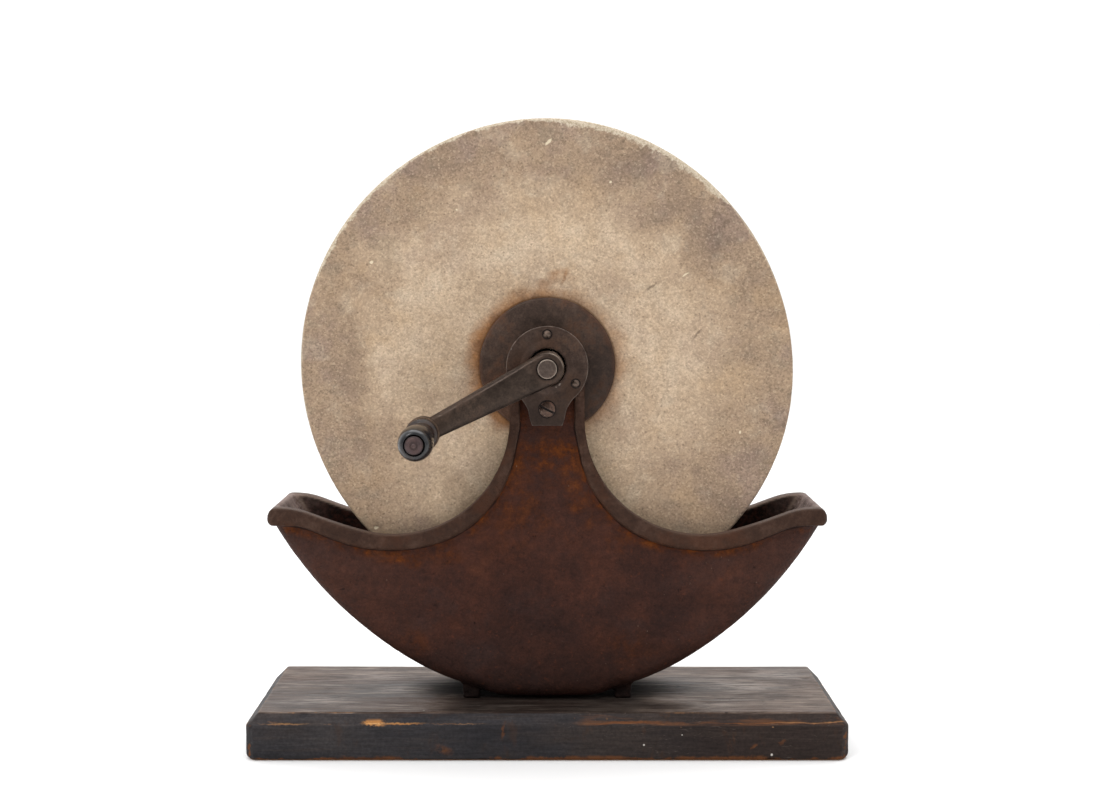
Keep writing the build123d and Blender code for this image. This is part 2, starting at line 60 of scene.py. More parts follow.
# =============================================================================
# node helpers
# =============================================================================
class Mat:
    def __init__(self, name):
        self.m = bpy.data.materials.new(name)
        self.m.use_nodes = True
        self.t = self.m.node_tree
        self.t.nodes.clear()
        self.out = self.t.nodes.new("ShaderNodeOutputMaterial")
        self.b = self.t.nodes.new("ShaderNodeBsdfPrincipled")
        self.t.links.new(self.b.outputs["BSDF"], self.out.inputs["Surface"])
        self.tc = self.t.nodes.new("ShaderNodeTexCoord")
        self.co = self.tc.outputs["Object"]

    def put(self, sock, v):
        if hasattr(v, "is_output") or isinstance(v, bpy.types.NodeSocket):
            self.t.links.new(v, sock)
        elif v is not None:
            if sock.type == "RGBA" and len(v) == 3:
                v = (*v, 1.0)
            sock.default_value = v

    def math(self, op, a, b=None, c=None, clamp=False):
        n = self.t.nodes.new("ShaderNodeMath")
        n.operation = op
        n.use_clamp = clamp
        self.put(n.inputs[0], a)
        if b is not None:
            self.put(n.inputs[1], b)
        if c is not None:
            self.put(n.inputs[2], c)
        return n.outputs[0]

    def add(self, a, b): return self.math("ADD", a, b)
    def sub(self, a, b): return self.math("SUBTRACT", a, b)
    def mul(self, a, b): return self.math("MULTIPLY", a, b)
    def mx(self, a, b): return self.math("MAXIMUM", a, b)
    def mn(self, a, b): return self.math("MINIMUM", a, b)
    def clamp(self, a): return self.math("ADD", a, 0.0, clamp=True)

    def vmath(self, op, a, b=None, scale=None):
        n = self.t.nodes.new("ShaderNodeVectorMath")
        n.operation = op
        self.put(n.inputs[0], a)
        if b is not None:
            self.put(n.inputs[1], b)
        if scale is not None:
            self.put(n.inputs["Scale"], scale)
        return n.outputs["Value"] if op in ("LENGTH", "DISTANCE", "DOT_PRODUCT") else n.outputs[0]

    def xyz(self, v):
        n = self.t.nodes.new("ShaderNodeSeparateXYZ")
        self.put(n.inputs[0], v)
        return n.outputs[0], n.outputs[1], n.outputs[2]

    def vec(self, x, y, z):
        n = self.t.nodes.new("ShaderNodeCombineXYZ")
        self.put(n.inputs[0], x); self.put(n.inputs[1], y); self.put(n.inputs[2], z)
        return n.outputs[0]

    def scaled(self, s, off=(0, 0, 0), v=None):
        n = self.t.nodes.new("ShaderNodeMapping")
        self.put(n.inputs["Vector"], v if v is not None else self.co)
        n.inputs["Scale"].default_value = s
        n.inputs["Location"].default_value = off
        return n.outputs[0]

    def noise(self, scale, detail=3.0, rough=0.55, dist=0.0, v=None, color=False):
        n = self.t.nodes.new("ShaderNodeTexNoise")
        self.put(n.inputs["Vector"], v if v is not None else self.co)
        n.inputs["Scale"].default_value = scale
        n.inputs["Detail"].default_value = detail
        n.inputs["Roughness"].default_value = rough
        n.inputs["Distortion"].default_value = dist
        return n.outputs["Color" if color else "Fac"]

    def voro(self, scale, feature="F1", v=None, out="Distance", rand=1.0):
        n = self.t.nodes.new("ShaderNodeTexVoronoi")
        n.feature = feature
        self.put(n.inputs["Vector"], v if v is not None else self.co)
        n.inputs["Scale"].default_value = scale
        n.inputs["Randomness"].default_value = rand
        return n.outputs[out]

    def wave(self, scale, dist=2.0, detail=2.0, dscale=1.0, direction="X", v=None):
        n = self.t.nodes.new("ShaderNodeTexWave")
        n.bands_direction = direction
        self.put(n.inputs["Vector"], v if v is not None else self.co)
        n.inputs["Scale"].default_value = scale
        n.inputs["Distortion"].default_value = dist
        n.inputs["Detail"].default_value = detail
        n.inputs["Detail Scale"].default_value = dscale
        return n.outputs["Fac"]

    def rng(self, v, a, b, c=0.0, d=1.0, smooth=True):
        n = self.t.nodes.new("ShaderNodeMapRange")
        n.interpolation_type = "SMOOTHSTEP" if smooth else "LINEAR"
        n.clamp = True
        self.put(n.inputs["Value"], v)
        self.put(n.inputs["From Min"], a); self.put(n.inputs["From Max"], b)
        self.put(n.inputs["To Min"], c); self.put(n.inputs["To Max"], d)
        return n.outputs["Result"]

    def mix(self, f, a, b, mode="MIX"):
        n = self.t.nodes.new("ShaderNodeMix")
        n.data_type = "RGBA"
        n.blend_type = mode
        n.clamp_factor = True
        self.put(n.inputs[0], f)
        self.put(n.inputs[6], a); self.put(n.inputs[7], b)
        return n.outputs[2]

    def mixf(self, f, a, b):
        n = self.t.nodes.new("ShaderNodeMix")
        n.data_type = "FLOAT"
        self.put(n.inputs[0], f)
        self.put(n.inputs[2], a); self.put(n.inputs[3], b)
        return n.outputs[0]

    def ramp(self, f, stops):
        n = self.t.nodes.new("ShaderNodeValToRGB")
        e = n.color_ramp.elements
        while len(e) < len(stops):
            e.new(0.5)
        for el, (p, c) in zip(e, stops):
            el.position = p
            el.color = c if len(c) == 4 else (*c, 1.0)
        self.put(n.inputs[0], f)
        return n.outputs[0]

    def attr(self, name):
        n = self.t.nodes.new("ShaderNodeAttribute")
        n.attribute_name = name
        return n.outputs["Fac"]

    def point(self):
        n = self.t.nodes.new("ShaderNodeNewGeometry")
        return n.outputs["Pointiness"]

    def bump(self, h, strength, dist, normal=None):
        n = self.t.nodes.new("ShaderNodeBump")
        n.inputs["Strength"].default_value = strength
        n.inputs["Distance"].default_value = dist
        self.put(n.inputs["Height"], h)
        if normal is not None:
            self.put(n.inputs["Normal"], normal)
        return n.outputs[0]

    def blob(self, v, cx, cz, rx, rz, soft=0.6, rot=0.0):
        """1 inside a soft ellipse in the XZ plane, 0 outside; v is a warped position."""
        n = self.t.nodes.new("ShaderNodeMapping")
        n.vector_type = "TEXTURE"
        self.put(n.inputs["Vector"], v)
        n.inputs["Location"].default_value = (cx, 0, cz)
        n.inputs["Rotation"].default_value = (0, math.radians(rot), 0)
        n.inputs["Scale"].default_value = (rx, 1e6, rz)
        d = self.vmath("LENGTH", n.outputs[0])
        return self.rng(d, 1.0 + soft * 0.5, 1.0 - soft, 0.0, 1.0)

    def done(self, color=None, rough=None, normal=None, metallic=None, spec=None):
        if color is not None: self.put(self.b.inputs["Base Color"], color)
        if rough is not None: self.put(self.b.inputs["Roughness"], rough)
        if metallic is not None: self.put(self.b.inputs["Metallic"], metallic)
        if spec is not None: self.b.inputs["Specular IOR Level"].default_value = spec
        if normal is not None: self.put(self.b.inputs["Normal"], normal)
        return self.m


# =============================================================================
# materials
# =============================================================================
# stains on the stone's faces: x, z from the axle, half sizes, turn, amount (darker is negative)
STAINS = (
    (-0.030, -0.105, 0.120, 0.030, 12, -0.10), (0.080, -0.072, 0.045, 0.026, -12, -0.14),
    (-0.085, 0.050, 0.045, 0.050, 25, 0.06), (0.020, 0.074, 0.060, 0.018, 0, 0.14),
    (0.075, 0.030, 0.030, 0.045, 0, 0.10), (-0.098, -0.005, 0.014, 0.045, 0, 0.10),
    (-0.050, 0.128, 0.060, 0.014, 18, -0.12), (0.050, 0.124, 0.050, 0.012, -24, -0.14),
    (0.064, 0.098, 0.022, 0.010, -12, -0.16), (0.088, 0.084, 0.007, 0.020, -8, -0.24),
    (0.100, 0.066, 0.016, 0.018, 30, -0.20), (0.004, 0.1180, 0.022, 0.0045, 2, -0.17),
    (0.108, 0.083, 0.014, 0.024, 28, -0.16), (0.128, 0.020, 0.012, 0.050, 4, -0.04),
    (-0.122, 0.062, 0.014, 0.050, 28, -0.08), (-0.128, -0.020, 0.014, 0.050, 0, -0.06),
    (0.112, -0.030, 0.016, 0.012, 0, -0.10), (-0.094, -0.050, 0.030, 0.020, 0, -0.08),
    (-0.080, 0.086, 0.014, 0.010, 20, -0.10), (0.112, -0.002, 0.018, 0.030, 0, -0.08))


# places where grains have broken out: x, z from the axle, half sizes, turn
CHIPS = (
    (0.0007, 0.1373, 0.0011, 0.0030, 42), (-0.1086, 0.0637, 0.0012, 0.0011, 0), (-0.1070, -0.1018, 0.0013, 0.0010, 15),
    (0.0855, 0.0560, 0.0006, 0.0026, 62), (-0.0100, -0.1120, 0.0011, 0.0008, 40), (0.0520, -0.1190, 0.0013, 0.0008, -20),
    (0.0390, 0.1130, 0.0007, 0.0009, 0), (-0.0560, 0.0960, 0.0008, 0.0006, 30), (0.1200, -0.0420, 0.0008, 0.0010, 0))


def mat_sandstone():
    m = Mat("sandstone")
    x, y, z = m.xyz(m.co)
    zz = m.sub(z, ZC)
    # the two faces carry different stains
    back = m.rng(y, -0.001, 0.001, smooth=False)
    flat = m.mix(back, m.vec(x, 0.0, zz), m.vec(zz, 0.0, m.mul(x, -1.0)))
    rad = m.vmath("LENGTH", m.vec(x, 0.0, zz))
    # positions bent a little, so that stains have ragged outlines
    w = m.vmath("SUBTRACT", m.noise(22.0, 4.0, 0.6, color=True), (0.5, 0.5, 0.5))
    w2 = m.vmath("SUBTRACT", m.noise(90.0, 3.0, 0.6, color=True), (0.5, 0.5, 0.5))
    w3 = m.vmath("SUBTRACT", m.noise(420.0, 2.0, 0.6, color=True), (0.5, 0.5, 0.5))
    wp = m.vmath("ADD", m.vmath("ADD", flat, m.vmath("SCALE", w, scale=0.046)), m.vmath("SCALE", w2, scale=0.012))
    wq = m.xyz(wp)
    wrad = m.vmath("LENGTH", m.vec(wq[0], 0.0, wq[2]))
    # broad tone: 1 light, 0 dark
    tone = m.rng(wrad, 0.088, 0.140, 0.74, 0.45)
    tone = m.add(tone, m.rng(m.noise(11.0, 4.0, 0.6), 0.3, 0.7, -0.13, 0.13, smooth=False))
    tone = m.add(tone, m.rng(m.noise(44.0, 4.0, 0.62), 0.3, 0.7, -0.10, 0.10, smooth=False))
    for cx, cz, rx, rz, rot, amt in STAINS:
        tone = m.add(tone, m.mul(m.blob(wp, cx, cz, rx, rz, 0.85, rot), amt * 0.80))
    # a few small round stains, as drops leave
    sp_p = m.vmath("ADD", flat, m.vmath("SCALE", w2, scale=0.007))
    spots = None
    for cx, cz, r in ((-0.0405, 0.1075, 0.0058), (-0.0735, 0.0760, 0.0036), (-0.0640, 0.0520, 0.0026),
                      (-0.1170, 0.0070, 0.0045), (0.0790, -0.0620, 0.0060), (0.0930, -0.0655, 0.0036),
                      (0.0640, -0.0640, 0.0055), (-0.0930, -0.0390, 0.0060), (0.0470, -0.0440, 0.0050)):
        q = m.blob(sp_p, cx, cz, r, r, 0.75)
        spots = q if spots is None else m.mx(spots, q)
    tone = m.sub(tone, m.mul(spots, 0.15))
    base = m.ramp(tone, [(0.0, srgb(112, 96, 84)), (0.25, srgb(140, 120, 103)), (0.50, srgb(163, 140, 117)),
                         (0.75, srgb(182, 159, 134)), (1.0, srgb(200, 179, 155))])
    # mineral hue drift: violet-grey, ochre and cool pale patches
    hue = m.noise(30.0, 3.0, 0.6, v=m.scaled((1, 1, 1), (3.1, 1.7, 0.4)))
    edgy = m.rng(rad, 0.095, 0.145, 0.35, 1.0)
    base = m.mix(m.mul(m.mul(m.rng(hue, 0.50, 0.66), 0.42), edgy), base, srgb(142, 122, 114))
    base = m.mix(m.mul(m.rng(hue, 0.47, 0.30), 0.24), base, srgb(188, 158, 122))
    hue2 = m.noise(52.0, 3.0, 0.6, v=m.scaled((1, 1, 1), (0.3, 6.7, 2.4)))
    base = m.mix(m.mul(m.rng(hue2, 0.54, 0.70), 0.26), base, srgb(186, 172, 152))
    base = m.mix(m.mul(m.mul(m.rng(hue2, 0.46, 0.32), 0.34), edgy), base, srgb(138, 126, 110))
    # grain: light and dark sand grains of two sizes
    v1 = m.xyz(m.voro(1050.0, out="Color"))[0]
    v2 = m.xyz(m.voro(640.0, out="Color", v=m.scaled((1, 1, 1), (0.013, 0.007, 0.021))))[1]
    g1 = m.noise(760.0, 3.0, 0.8)
    g3 = m.noise(330.0, 3.0, 0.7)
    grain = m.add(m.rng(v1, 0.0, 1.0, -0.16, 0.14, smooth=False), m.rng(v2, 0.0, 1.0, -0.08, 0.08, smooth=False))
    grain = m.add(grain, m.rng(g1, 0.25, 0.75, -0.19, 0.17, smooth=False))
    grain = m.add(grain, m.rng(g3, 0.3, 0.7, -0.06, 0.06, smooth=False))
    gmul = m.vmath("SCALE", (1.0, 1.0, 1.0), scale=m.add(1.0, grain))
    base = m.mix(1.0, base, gmul, "MULTIPLY")
    base = m.mix(m.mul(m.rng(v1, 0.90, 0.98), 0.14), base, srgb(222, 206, 178))
    # single dark and pale grains
    vs = m.voro(520.0)
    vc = m.xyz(m.voro(520.0, out="Color"))
    dark = m.mul(m.rng(vs, 0.42, 0.22), m.rng(vc[0], 0.84, 0.90))
    base = m.mix(m.mul(dark, 0.36), base, srgb(88, 72, 60))
    pale = m.mul(m.rng(vs, 0.40, 0.20), m.rng(vc[1], 0.90, 0.95))
    base = m.mix(m.mul(pale, 0.15), base, srgb(224, 210, 186))
    # speckled dirt in the outer band
    band = m.rng(rad, 0.108, 0.140)
    sp = m.noise(240.0, 4.0, 0.75)
    dirt = m.mul(m.mul(m.rng(sp, 0.53, 0.64), band), m.rng(m.noise(30.0, 2.0, 0.5), 0.44, 0.62))
    for cx, cz, rx, rz, rot, amt in ((0.1090, 0.0840, 0.012, 0.022, 35, 1.0), (0.122, 0.048, 0.008, 0.018, 10, 0.6),
                                     (-0.128, 0.030, 0.006, 0.030, 0, 0.6), (0.135, -0.010, 0.008, 0.020, 0, 0.6)):
        dirt = m.mx(dirt, m.mul(m.mul(m.blob(wp, cx, cz, rx, rz, 0.9, rot), m.rng(sp, 0.46, 0.60)), amt))
    base = m.mix(m.mul(dirt, 0.46), base, srgb(92, 78, 68))
    # rust that has bled out from the flange
    face = m.rng(m.math("ABSOLUTE", y), 0.0205, 0.0222)
    ang_l = m.rng(wq[0], 0.030, -0.030, 0.55, 1.0)
    halo_w = m.add(0.0430, m.mul(m.rng(m.noise(46.0, 4.0, 0.62), 0.25, 0.75, smooth=False), 0.0095))
    halo = m.mul(m.rng(rad, m.add(halo_w, 0.0070), m.sub(halo_w, 0.0050)), ang_l)
    smear = m.mx(m.mul(m.blob(wp, 0.001, 0.0505, 0.013, 0.0050, 0.9, 0), 0.85), m.blob(sp_p, 0.0105, 0.0545, 0.0018, 0.0062, 0.8, 14))
    smear = m.mx(smear, m.mul(m.blob(wp, -0.046, -0.020, 0.010, 0.016, 0.9, 10), 0.9))
    rust = m.mul(m.mx(m.mul(halo, 0.95), m.mul(smear, 0.66)), face)
    rustc = m.mix(m.rng(m.noise(160.0, 3.0, 0.6), 0.35, 0.65), srgb(112, 70, 38), srgb(150, 102, 60))
    rustc = m.mix(1.0, rustc, m.vmath("SCALE", (1.0, 1.0, 1.0), scale=m.add(1.0, m.mul(grain, 0.6))), "MULTIPLY")
    base = m.mix(m.mul(rust, 0.90), base, rustc)
    base = m.mix(m.mul(m.rng(rad, 0.0436, 0.0422), m.mul(face, 0.55)), base, srgb(84, 56, 38))
    # pale arris: freshly worn stone with a painted highlight over it, broadest at the top where light falls, and a
    # stained running face
    ed, ww = m.attr("edge_d"), m.attr("worn_w")
    pal = m.mix(m.rng(g1, 0.35, 0.62), srgb(176, 160, 136), srgb(214, 201, 180))
    ragged = m.rng(m.add(m.mul(m.noise(95.0, 4.0, 0.65), 0.6), m.mul(g3, 0.4)), 0.34, 0.66, 0.25, 1.55, smooth=False)
    lim = m.mul(m.mul(ww, 0.86), ragged)
    arris_wear_and_highlight = m.mul(m.rng(ed, lim, m.mul(lim, 0.55)), m.rng(ww, 0.0006, 0.0030, 0.25, 0.85))
    base = m.mix(arris_wear_and_highlight, base, pal)
    run = m.rng(m.math("ABSOLUTE", y), 0.0200, 0.0150)
    run = m.mul(run, m.rng(rad, 0.1480, 0.1495))
    runc = m.mix(m.rng(m.noise(60.0, 4.0, 0.6, v=m.scaled((1, 3.5, 1))), 0.35, 0.65), srgb(128, 110, 91), srgb(170, 148, 121))
    runc = m.mix(1.0, runc, gmul, "MULTIPLY")
    base = m.mix(m.mul(run, 0.85), base, runc)
    # chips
    fine = m.vmath("ADD", flat, m.vmath("SCALE", w3, scale=0.0016))
    chips = None
    for cx, cz, rx, rz, rot in CHIPS:
        q = m.blob(fine, cx, cz, rx, rz, 0.35, rot)
        chips = q if chips is None else m.mx(chips, q)
    base = m.mix(m.mul(chips, 0.92), base, srgb(218, 202, 174))
    scr = m.mx(m.blob(fine, 0.0644, 0.0485, 0.0009, 0.0042, 0.6, 62), m.blob(fine, 0.0930, 0.0193, 0.0008, 0.0050, 0.6, 40))
    base = m.mix(m.mul(scr, 0.55), base, srgb(92, 76, 62))
    h = m.add(m.mul(v1, 0.35), m.add(m.mul(vs, -0.20), m.add(m.mul(g1, 0.4), m.mul(g3, 0.4))))
    h = m.sub(h, m.mul(m.mx(chips, scr), 0.8))
    n = m.bump(h, 0.60, 0.00042)
    n = m.bump(m.noise(120.0, 3.0, 0.6), 0.30, 0.0006, n)
    return m.done(base, m.rng(g3, 0.2, 0.8, 0.86, 0.97), n, spec=0.08)


def mat_trough():
    m = Mat("trough_iron")
    x, y, z = m.xyz(m.co)
    ay = m.math("ABSOLUTE", y)
    w = m.vmath("SUBTRACT", m.noise(30.0, 4.0, 0.6, color=True), (0.5, 0.5, 0.5))
    wp = m.vmath("ADD", m.co, m.vmath("SCALE", w, scale=0.030))
    n1 = m.noise(16.0, 5.0, 0.62)
    n2 = m.noise(70.0, 5.0, 0.66)
    n3 = m.noise(320.0, 4.0, 0.7)
    base = m.ramp(m.add(m.mul(n1, 0.55), m.mul(n2, 0.45)),
                  [(0.30, srgb(44, 29, 26)), (0.45, srgb(57, 35, 29)), (0.56, srgb(68, 40, 31)), (0.72, srgb(82, 48, 34))])
    # painted shade: darker towards the bottom; greyer at the flanks
    base = m.mix(m.mul(m.rng(z, 0.100, 0.034), 0.62), base, srgb(34, 22, 19))
    base = m.mix(m.mul(m.rng(m.math("ABSOLUTE", x), 0.06, 0.15), 0.40), base, srgb(62, 43, 37))
    # faint level streaks, as water leaves
    st = m.noise(55.0, 4.0, 0.6, v=m.scaled((0.16, 0.3, 1.0), (0.4, 0.9, 3.1)))
    base = m.mix(1.0, base, m.vmath("SCALE", (1, 1, 1), scale=m.rng(st, 0.32, 0.68, 0.86, 1.14, smooth=False)), "MULTIPLY")
    # violet-grey mill scale islands
    scale_ = m.rng(m.noise(26.0, 4.0, 0.62, v=m.scaled((1, 1, 1), (7.3, 2.2, 5.1))), 0.52, 0.64)
    base = m.mix(m.mul(scale_, 0.30), base, srgb(54, 41, 39))
    # orange rust below the rim and on the necks
    under = m.attr("under_rim")
    neck = m.mul(m.rng(z, 0.150, 0.185), m.rng(z, 0.1950, 0.1870, 0.22, 1.0))
    neck2 = m.mul(m.rng(z, 0.105, 0.165), m.rng(m.math("ABSOLUTE", x), 0.075, 0.020))
    rn = m.noise(120.0, 5.0, 0.68)
    rn2 = m.noise(34.0, 4.0, 0.62, v=m.scaled((1, 1, 1), (1.3, 4.4, 2.7)))
    rust = m.mx(m.mul(m.rng(under, 0.20, 0.85), m.rng(rn2, 0.38, 0.54)), m.mul(neck, m.rng(rn2, 0.26, 0.48)))
    rust = m.mx(rust, m.mul(m.mul(neck2, m.rng(rn2, 0.44, 0.64)), 0.75))
    for cx, cz, rx, rz, amt in ((-0.088, 0.118, 0.020, 0.0040, 1.0), (-0.060, 0.122, 0.010, 0.006, 0.8),
                                (0.045, 0.128, 0.012, 0.007, 0.55), (0.0, 0.186, 0.014, 0.007, 0.9),
                                (0.052, 0.062, 0.018, 0.012, 0.35), (-0.085, 0.066, 0.010, 0.012, 0.45)):
        rust = m.mx(rust, m.mul(m.blob(wp, cx, cz, rx, rz, 0.9), amt))
    rust = m.mul(rust, m.rng(rn, 0.30, 0.60))
    rustc = m.ramp(rn, [(0.30, srgb(56, 26, 10)), (0.50, srgb(76, 36, 9)), (0.66, srgb(100, 51, 13)), (0.80, srgb(118, 68, 28))])
    base = m.mix(m.mul(rust, 0.82), base, rustc)
    # pebbly tone of the casting skin
    base = m.mix(1.0, base, m.vmath("SCALE", (1, 1, 1), scale=m.rng(n3, 0.28, 0.72, 0.72, 1.28, smooth=False)), "MULTIPLY")
    n4 = m.noise(760.0, 3.0, 0.7)
    base = m.mix(1.0, base, m.vmath("SCALE", (1, 1, 1), scale=m.rng(n4, 0.28, 0.72, 0.80, 1.20, smooth=False)), "MULTIPLY")
    # small pale specks, painted glints off the pebbly skin, and rust-red specks
    few = m.rng(m.noise(60.0, 3.0, 0.6), 0.46, 0.62)
    sp1 = m.noise(560.0, 2.0, 0.5, v=m.scaled((1, 1, 1), (4.2, 1.1, 0.3)))
    sp2 = m.noise(300.0, 4.0, 0.7, v=m.scaled((1, 1, 1), (0.2, 3.1, 5.3)))
    base = m.mix(m.mul(m.mul(m.rng(sp1, 0.735, 0.765), few), 0.65), base, srgb(126, 106, 94))
    base = m.mix(m.mul(m.rng(sp2, 0.60, 0.70), 0.34), base, srgb(94, 50, 32))
    dimple = m.rng(sp2, 0.36, 0.27)
    base = m.mix(m.mul(dimple, 0.60), base, srgb(24, 15, 13))
    # rim: smoother, dark grey-brown, with a painted highlight along its upper face and inner arris
    rim = m.attr("rim")
    rimc = m.ramp(m.add(m.mul(n2, 0.6), m.mul(n3, 0.4)), [(0.30, srgb(40, 26, 20)), (0.50, srgb(60, 42, 33)), (0.72, srgb(86, 66, 56))])
    rimc = m.mix(m.mul(m.rng(rn2, 0.50, 0.66), 0.45), rimc, srgb(80, 48, 32))
    base = m.mix(m.mul(m.rng(rim, 0.25, 0.75), 0.92), base, rimc)
    # inside: nearly black, wet stain with painted shade in the recess; painted light up the sloping end walls and on
    # the lips over them, where light falls
    ins = m.attr("inside")
    insc = m.mix(m.rng(n3, 0.35, 0.68), srgb(14, 7, 5), srgb(52, 26, 19))
    base = m.mix(m.mul(m.rng(ins, 0.3, 0.8), 0.94), base, insc)
    fade = m.mul(m.attr("end_wall"), m.rng(n2, 0.30, 0.62, 0.35, 1.0))
    base = m.mix(m.mul(fade, 0.92), base, m.mix(m.rng(n3, 0.35, 0.65), srgb(108, 91, 84), srgb(150, 131, 124)))
    lip = m.attr("lip")
    lipc = m.mix(m.rng(n2, 0.35, 0.65), srgb(104, 88, 83), srgb(146, 129, 123))
    base = m.mix(m.mul(m.rng(lip, 0.2, 0.9), 0.85), base, lipc)
    # painted highlight on the rim's upper face, and a thinner one along its inner arris
    rim_top_highlight = m.mul(m.attr("arris"), m.rng(n3, 0.26, 0.50, 0.45, 1.0))
    base = m.mix(m.mul(rim_top_highlight, 0.50), base, srgb(116, 98, 88))
    base = m.mix(m.mul(m.attr("inner_line"), 0.60), base, srgb(142, 124, 112))
    # painted shadow along the line just under the rim
    groove = m.attr("groove")
    base = m.mix(m.mul(m.rng(groove, 0.2, 0.8), 0.80), base, srgb(22, 13, 10))
    # feet darkened low down: painted shade under the hull
    fx = m.rng(m.math("ABSOLUTE", m.sub(m.math("ABSOLUTE", x), 0.0475)), 0.0120, 0.0065)
    base = m.mix(m.mul(m.mul(fx, m.rng(z, 0.0440, 0.0330)), m.rng(n3, 0.25, 0.60, 0.55, 0.95)), base, srgb(20, 13, 11))
    peb = m.noise(430.0, 4.0, 0.62)
    pits = m.rng(m.voro(150.0, "SMOOTH_F1"), 0.10, 0.34)
    h = m.add(m.mul(peb, 0.9), m.add(m.mul(n3, 0.7), m.mul(pits, 0.25)))
    h = m.add(h, m.sub(m.mul(n4, 0.4), m.mul(dimple, 0.5)))
    n = m.bump(h, 0.85, 0.0011)
    rough = m.mixf(m.rng(rim, 0.25, 0.75), m.rng(n3, 0.3, 0.7, 0.58, 0.78), m.rng(n3, 0.3, 0.7, 0.46, 0.62))
    return m.done(base, rough, n, spec=0.09)


